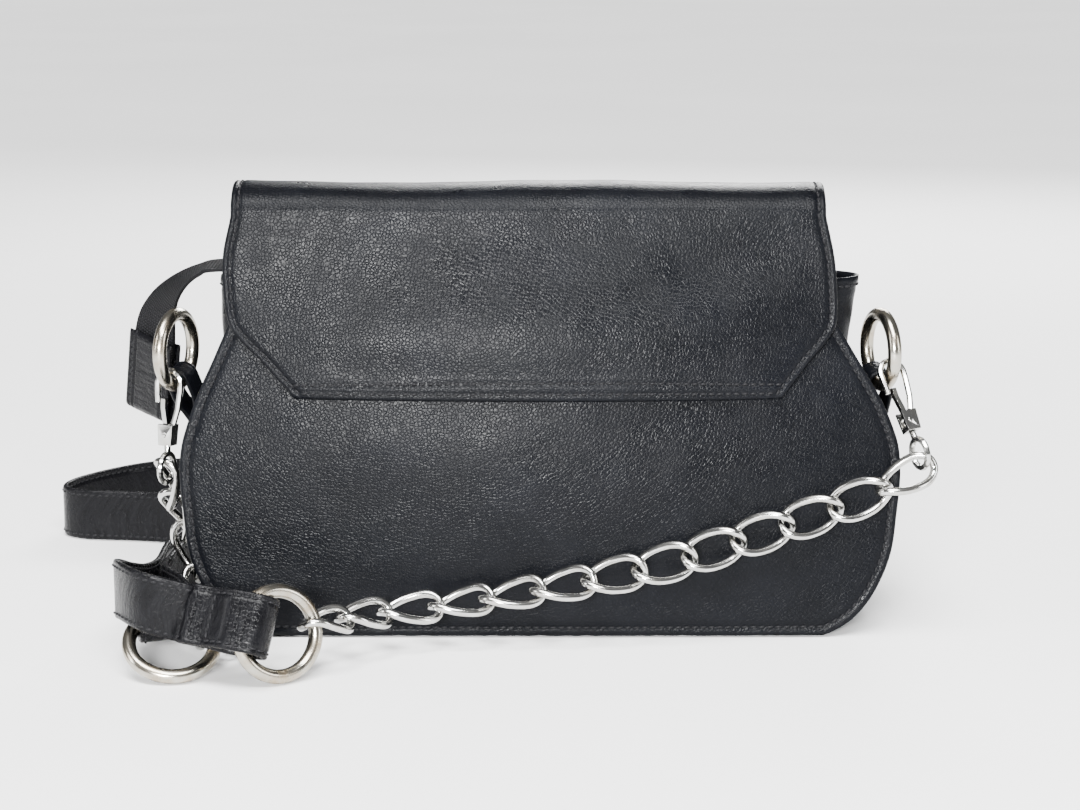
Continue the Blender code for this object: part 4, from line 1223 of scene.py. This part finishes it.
def flap_stitch_lines(patch, cosines):
    """The row round the flap's edge and the second row of its hem."""
    left = []
    right = []
    for row in range(2, len(cosines)):
        inset = FLAP_INSET / cosines[row]
        if patch["down"][-1, 5] - patch["down"][row, 5] < FLAP_INSET:
            break
        left.append(place_on(patch, row, column_at(patch, row, inset)))
        width = patch["over"][row, -1]
        right.append(place_on(patch, row, column_at(patch, row, width - inset)))
    return [left + flap_row_line(patch, FLAP_INSET) + right[::-1],
            flap_row_line(patch, HEM_ROW)]


# Tape and end tab

def make_tape():
    rows = tape_rows()
    end, across = rows[-1]
    along = Vector((-END_TAB_LEAN["out"], END_TAB_LEAN["back"],
                    -END_TAB_LEAN["down"])).normalized()
    across = square_to(across, along)
    facing = along.cross(across).normalized()
    rows[-1] = (end, across)
    rows.append((end + along * 0.2 * END_TAB_LENGTH, across))
    centres = smooth_route([row[0] for row in rows], TAPE_STEPS)
    ways = [way.normalized() for way in smooth_route([row[1] for row in rows], TAPE_STEPS)]
    patch = measure(edge_rows(centres, ways, tape_width(), TAPE_COLUMNS), 1)
    relief = groove(from_sides(patch), 2.2 * MM, 0.5 * MM, 0.25 * MM)
    shell("tape", patch, TAPE_THICKNESS, "tape", relief, "zip_tape")
    make_end_tab(end + along * 0.5 * MM, along, facing, across)


def make_end_tab(start, along, facing, across):
    """Folded leather over the tape's end, with two furrows along each side."""
    half = (TAPE_THICKNESS + 2 * GAP + END_TAB_LEATHER) / 2
    levels = [start + along * END_TAB_LENGTH * step / TAB_ROWS for step in range(TAB_ROWS + 1)]
    path = ([level + facing * half for level in levels]
            + half_turn(levels[-1], facing, along, half, END_TAB_TURN)[1:-1]
            + [level - facing * half for level in reversed(levels)])
    width = tape_width() + 1.6 * MM
    patch = measure(even_rows(path, across, width, END_TAB_COLUMNS), 1)
    face_toward(patch, 5, END_TAB_COLUMNS // 2, facing)
    relief = swell_of(patch, 0.2 * MM, 5 * MM)
    for side in (patch["over"], patch["over"][:, -1:] - patch["over"]):
        for distance in (TAB_INSET, 2 * TAB_INSET):
            relief = relief + groove(side, distance, 0.5 * MM)
    shell("end_tab", patch, END_TAB_LEATHER, "glossy", relief, "zip_end_tab")
    make_stitches("end_tab_stitches", tab_stitch_lines(patch, TAB_INSET, END_TAB_STITCHES),
                  pitch=TAB_PITCH)


def tab_stitch_lines(patch, inset, spans):
    """Rows along both edges of a folded tab, over spans of its grid rows."""
    width = patch["over"][0, -1]
    return [[place_on(patch, row, column_at(patch, row, distance))
             for row in range(first, last)]
            for distance in (inset, width - inset) for first, last in spans]


# Rings, tabs, hooks and chains

def make_rings(rings):
    for name, (ring, inner) in rings.items():
        bpy.ops.mesh.primitive_torus_add(
            major_segments=RING_STEPS, minor_segments=RING_SIDES,
            major_radius=(inner + RING_WIRE) / 2, minor_radius=RING_WIRE / 2)
        made = bpy.context.object
        made.name = name + "_metal"
        made.data.transform(axes_matrix(ring["centre"], ring["right"], ring["up"],
                                        ring["normal"]))
        made.data.shade_smooth()
        made.data.materials.append(LOOKS["nickel"])
        finish_piece(made, "nickel", name)


def ring_tab_path(side):
    """Middle line of a folded tab from the gusset up through its ring."""
    top, across = ring_point(side_ring(side), SIDE_RING_INNER, RING_TAB_DEGREES)
    foot = Vector((0, 0, RING_TAB_FOOT))
    foot.x = side * (gusset_side(RING_TAB_FOOT, 1) + 1.5 * GAP + RING_TAB_LEATHER)
    span = top - foot
    foot.y = (span.x * across.x + span.z * across.z) / across.y + top.y
    span = top - foot
    along = span.normalized()
    facing = across.cross(along).normalized()
    loop = RING_WIRE / 2 + 1.8 * GAP + RING_TAB_LEATHER / 2
    near = (RING_TAB_LEATHER + GAP) / 2
    layers = []
    for step in range(TAB_ROWS):
        share = 0.95 * step / (TAB_ROWS - 1)
        spread = near + (loop - near) * smoothstep((share - 0.05) / 0.70)
        layers.append((foot + span * share, facing * spread))
    crest = top + along * wire_sag(SIDE_RING_INNER, RING_TAB_WIDTH)
    path = [centre + spread for centre, spread in layers]
    path += half_turn(crest, facing, along, loop, RING_TAB_TURN)
    path += [centre - spread for centre, spread in reversed(layers)]
    return path, across


def make_ring_tab(side, word):
    path, across = ring_tab_path(side)
    patch = measure(even_rows(path, across, RING_TAB_WIDTH, TAB_ROWS), 1)
    row, column = TAB_ROWS + RING_TAB_TURN // 2, TAB_ROWS // 2
    middle = np.mean(patch["grid"], axis=(0, 1))
    face_toward(patch, row, column, Vector(patch["grid"][row, column] - middle))
    relief = (groove(from_sides(patch), RING_TAB_INSET, 0.4 * MM, 0.2 * MM)
              + swell_of(patch, 0.1 * MM, 4 * MM))
    name = "ring_tab_" + word
    shell(name + "_leather", patch, RING_TAB_LEATHER, "leather", relief, name)
    make_stitches(name + "_stitches",
                  tab_stitch_lines(patch, RING_TAB_INSET, RING_TAB_STITCHES), pitch=TAB_PITCH)


def own_axes(node):
    """Place of a CAD node: its middle, with its longest spread along X."""
    points = np.array([tuple(vert.co) for vert in node.data.vertices])
    points = np.unique(np.round(points, 6), axis=0)
    centre = points.mean(axis=0)
    _, ways = np.linalg.eigh(np.cov((points - centre).T))
    along, across = Vector(ways[:, 2]), Vector(ways[:, 1])
    return axes_matrix(Vector(centre), along, across, along.cross(across))


def rounded(value):
    """Bends a sine or cosine toward a squarer oval."""
    return copysign(abs(value) ** LINK_ROUNDNESS, value)


def link_path():
    half_length = (LINK_LENGTH - LINK_WIRE) / 2
    half_width = (LINK_WIDTH - LINK_WIRE) / 2
    points = []
    for step in range(LINK_STEPS):
        angle = 2 * pi * step / LINK_STEPS
        side = half_width * rounded(sin(angle))
        twist = radians(LINK_TWIST) * cos(angle)
        points.append(Vector((half_length * rounded(cos(angle)),
                              side * cos(twist), side * sin(twist))))
    return points


def link_mesh():
    """A curb link: an oval of round wire twisted about its length."""
    points = link_path()
    verts = []
    faces = []
    for index, point in enumerate(points):
        after = (index + 1) % LINK_STEPS
        along = (points[after] - points[index - 1]).normalized()
        outward = square_to(point, along)
        aside = along.cross(outward)
        for step in range(LINK_SIDES):
            angle = 2 * pi * step / LINK_SIDES
            verts.append(point + (outward * cos(angle) + aside * sin(angle))
                         * LINK_WIRE / 2)
            turn = (step + 1) % LINK_SIDES
            faces.append((index * LINK_SIDES + step, index * LINK_SIDES + turn,
                          after * LINK_SIDES + turn, after * LINK_SIDES + step))
    return verts, faces


def make_chains():
    verts, faces = link_mesh()
    for name, node in sorted(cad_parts.items()):
        if name.startswith("chain_"):
            place = own_axes(node)
            placed = [place @ vert for vert in verts]
            link = add_mesh("link_" + name, placed, faces, LOOKS["steel"])
            finish_piece(link, "steel", name)


def welded_copy(node):
    """A node's mesh with its corners joined, smooth but for its sharp edges."""
    mesh = node.data.copy()
    work = bmesh.new()
    work.from_mesh(mesh)
    bmesh.ops.remove_doubles(work, verts=work.verts, dist=WELD)
    work.to_mesh(mesh)
    work.free()
    mesh.shade_smooth()
    mesh.set_sharp_from_angle(angle=radians(HOOK_SHARP_ANGLE))
    mesh.materials.clear()
    mesh.materials.append(LOOKS["steel"])
    return mesh


def make_hook_metal():
    """The hooks, levers and eyes keep their CAD shape, with rounded edges."""
    for kind in ("snap_hook", "snap_gate", "snap_swivel"):
        for word in ("left", "right"):
            name = kind + "_" + word
            made = put(name + "_metal", welded_copy(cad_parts[name]))
            rounding = made.modifiers.new("rounded edges", "BEVEL")
            rounding.width = HOOK_ROUNDING
            rounding.segments = 2
            rounding.angle_limit = radians(HOOK_BEVEL_ANGLE)
            rounding.harden_normals = True
            body = "gate_" + word if kind == "snap_gate" else "bag"
            finish_piece(made, "steel", name, body=body)


# Leather strap

def strap_creases(patch):
    """Fine random creases across the strap's length, in metres of height."""
    down = patch["down"] / CREASE_PITCH
    over = patch["over"] / (3 * CREASE_PITCH)
    return np.array([[noise.noise(Vector((d, o, 0))) for d, o in zip(drow, orow)]
                     for drow, orow in zip(down, over)])


def strap_stitch_lines(patch):
    """A row along each edge on both faces of the strap."""
    paths = []
    for from_left in (True, False):
        front = []
        back = []
        for row in range(2, len(patch["grid"]) - 2):
            width = patch["over"][row, -1]
            distance = STRAP_INSET if from_left else width - STRAP_INSET
            point, normal = place_on(patch, row, column_at(patch, row, distance))
            front.append((point, normal))
            back.append((point - normal * (STRAP_THICKNESS - STITCH_GROOVE), -normal))
        paths += [front, back]
    return paths


def box_stitch_lines(patch):
    """Rows across the turned-back layer that hold the front loop."""
    return [[place_on(patch, row, column) for column in range(6, STRAP_COLUMNS - 5)]
            for row in BOX_ROWS]


def make_strap(front_ring, back_ring):
    centres, ways = zip(*strap_rows(front_ring, back_ring))
    patch = measure(edge_rows(centres, ways, STRAP_WIDTH, STRAP_COLUMNS), 1)
    away = from_sides(patch)
    creases = CREASE_HEIGHT * strap_creases(patch) * np.minimum(away / (3 * MM), 1.0)
    relief = groove(away, STRAP_INSET, 0.5 * MM) + creases
    shell("strap_leather", patch, STRAP_THICKNESS, "glossy", relief, "shoulder_strap")
    make_stitches("strap_stitches", strap_stitch_lines(patch) + box_stitch_lines(patch))


# Stage, lights and camera

def make_floor():
    corners = [(x * FLOOR_REACH, y * FLOOR_REACH, 0)
               for x, y in ((-1, -1), (1, -1), (1, 1), (-1, 1))]
    add_mesh("floor", corners, [(0, 1, 2, 3)], pale_floor(), smooth=False)


def pale_floor():
    look = node_material("pale floor", (0.86, 0.86, 0.86), 0.6)
    patches = noise_value(look[1], texture_place(look[1]), 3, 2.0)
    return dress(look, ramp(look[1], patches, ((0.3, 0.84), (0.7, 0.88))))


def make_lights():
    world = bpy.data.worlds.new("studio")
    world.use_nodes = True
    bpy.context.scene.world = world
    background = world.node_tree.nodes["Background"]
    background.inputs["Color"].default_value = (1.0, 1.0, 1.0, 1)
    background.inputs["Strength"].default_value = WORLD_LIGHT
    sun = bpy.data.lights.new("overhead", "SUN")
    sun.energy = SUN_LIGHT
    sun.angle = radians(SUN_ANGLE)
    put("overhead", sun).rotation_euler = [radians(turn) for turn in SUN_TURN]
    for row in AREA_LIGHTS:
        light = bpy.data.lights.new(row["name"], "AREA")
        light.shape = "RECTANGLE"
        light.size, light.size_y = row["size"]
        light.energy = row["power"]
        made = put(row["name"], light)
        made.location = row["place"]
        toward = Vector(LIGHT_TARGET) - Vector(row["place"])
        made.rotation_euler = toward.to_track_quat("-Z", "Y").to_euler()


def make_camera():
    pitch = radians(CAMERA_PITCH)
    camera = bpy.data.cameras.new("camera")
    camera.sensor_width = SENSOR_WIDTH
    camera.lens = SENSOR_WIDTH * CAMERA_PIXELS / PHOTO_WIDTH
    made = put("camera", camera)
    away = Vector((0, -cos(pitch), sin(pitch)))
    made.location = CAMERA_TARGET + away * CAMERA_DISTANCE
    made.rotation_euler = (pi / 2 - pitch, 0, 0)
    bpy.context.scene.camera = made


def build():
    front_ring, back_ring = [ring_on_floor(row) for row in STRAP_RINGS]
    make_panel("front_panel", front_y, 1, FRONT_DENTS)
    make_panel("back_panel", back_y, -1, BACK_DENTS)
    make_gusset()
    make_flap()
    make_tape()
    for side, word in ((-1, "left"), (1, "right")):
        make_ring_tab(side, word)
    make_rings({
        "side_ring_left": (side_ring(-1), SIDE_RING_INNER),
        "side_ring_right": (side_ring(1), SIDE_RING_INNER),
        "strap_ring_front": (front_ring, STRAP_RING_INNER),
        "strap_ring_back": (back_ring, STRAP_RING_INNER),
    })
    make_hook_metal()
    make_chains()
    make_strap(front_ring, back_ring)


make_floor()
make_lights()
make_camera()
build()
